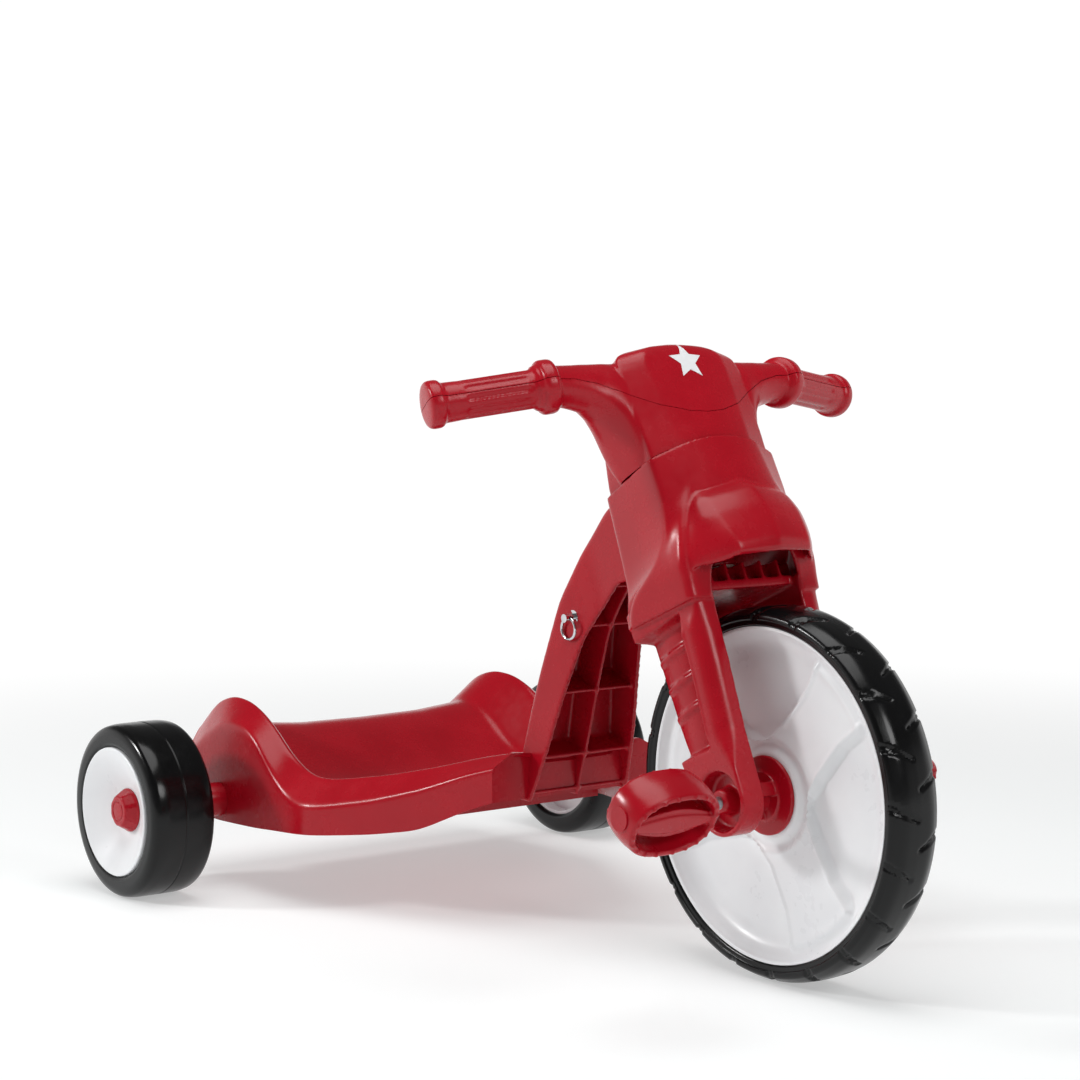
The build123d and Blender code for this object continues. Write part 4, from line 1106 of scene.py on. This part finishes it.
nodeMaterials = {
    "steel_rod": drawnSteel, "zinc_fasteners": zincPlate, "chrome_wire": chromeWire, "nylon": naturalNylon,
    "white_plastic": whitePolypropylene, "red_plastic": redPolyethylene, "tyre_black": blackTyrePlastic,
}
for part in record["subparts"]:
    item = frame["nodes"][part["node"]]
    for index in range(len(item.material_slots)):
        item.material_slots[index].material = nodeMaterials[part["material_slot"]]
print("carried parts done")


# floor, light and camera

studio = {"floor": "#cacdcd", "horizon": 1.02, "front": 0.22, "upper": 0.14, "lift": 0.42,
    "sweep": (0.7, 2.2)}
lamps = {                                     # place, aim, width in metres, watts
    "key": ((-2.3, 1.5, 1.5), (0, 0.05, 0.2), 0.45, 36.0),
    "over": ((-0.3, -0.2, 2.4), (0, 0, 0.2), 2.0, 34.0),
    "front": ((0.2, -2.4, 1.7), (0, 0, 0.3), 0.9, 16.0),
}


def makeFloor():
    # white paper, brighter with distance so that it runs into the backdrop
    material, tree = newMaterial("floorPaperMatt")
    place = addNode(tree, "ShaderNodeTexCoord").outputs["Object"]
    away = addNode(tree, "ShaderNodeVectorMath", {0: place}, operation="LENGTH").outputs["Value"]
    low, high = studio["sweep"]
    glow = addNode(tree, "ShaderNodeMapRange", {"Value": away, "From Min": low, "From Max": high},
                   interpolation_type="SMOOTHSTEP").outputs["Result"]
    paper = addNode(tree, "ShaderNodeBsdfPrincipled", {
        "Base Color": toLinear(studio["floor"]), "Roughness": 0.85,
        "Emission Color": (1, 1, 1, 1), "Emission Strength": studio["lift"]})
    light = addNode(tree, "ShaderNodeEmission", {"Color": (1, 1, 1, 1), "Strength": studio["horizon"]})
    blend = addNode(tree, "ShaderNodeMixShader", {0: glow, 1: paper.outputs["BSDF"],
        2: light.outputs["Emission"]})
    addNode(tree, "ShaderNodeOutputMaterial", {"Surface": blend.outputs["Shader"]})
    mesh = bpy.data.meshes.new("floor")
    mesh.from_pydata([(-40, -40, 0), (40, -40, 0), (40, 40, 0), (-40, 40, 0)], [], [(0, 1, 2, 3)])
    mesh.materials.append(material)
    floor = placed("floor", mesh)


def addLamp(name, place, aim, size, power):
    lamp = bpy.data.lights.new(name, "AREA")
    lamp.shape, lamp.size, lamp.energy = "DISK", size, power
    item = placed(name, lamp)
    item.location = place
    item.rotation_euler = (Vector(aim) - Vector(place)).to_track_quat("-Z", "Y").to_euler()


def makeStudio():
    # a white cyclorama low down, a dim ceiling, and soft lamps
    world = bpy.data.worlds.new("studio")
    world.use_nodes = True
    tree = world.node_tree
    way = addNode(tree, "ShaderNodeTexCoord").outputs["Generated"]
    height = addNode(tree, "ShaderNodeSeparateXYZ", {0: way}).outputs["Z"]
    behind = addNode(tree, "ShaderNodeVectorMath", {0: way, 1: (0.607, 0.795, 0.0)},
        operation="DOT_PRODUCT").outputs["Value"]
    wall = addNode(tree, "ShaderNodeMapRange", {"Value": behind, "From Min": -0.45, "From Max": 0.35,
        "To Min": studio["front"],
                                                "To Max": studio["horizon"]},
                                                interpolation_type="SMOOTHSTEP").outputs["Result"]
    level = addNode(tree, "ShaderNodeMapRange", {"Value": height, "From Min": 0.17, "From Max": 0.42,
        "To Min": wall,
                                                 "To Max": studio["upper"]},
                                                 interpolation_type="SMOOTHSTEP").outputs["Result"]
    tree.links.new(level, tree.nodes["Background"].inputs["Strength"])
    tree.nodes["Background"].inputs["Color"].default_value = (1, 1, 1, 1)
    bpy.context.scene.world = world
    for name, (place, aim, size, power) in lamps.items():
        addLamp(name, place, aim, size, power)
    bpy.context.scene.view_settings.view_transform = "Standard"


cameraPlace = {"place": (-1.53408, -1.94293, 0.56577), "azimuth": -37.348, "elevation": 4.695,
    "lens": 88.14}


def makeCamera():
    camera = bpy.data.cameras.new("camera")
    camera.sensor_width, camera.lens = 36.0, cameraPlace["lens"]
    item = placed("camera", camera)
    item.location = cameraPlace["place"]
    item.rotation_euler = (math.radians(90 - cameraPlace["elevation"]), 0,
        math.radians(cameraPlace["azimuth"]))
    bpy.context.scene.camera = item


makeFloor()
makeStudio()
makeCamera()
print("studio done")
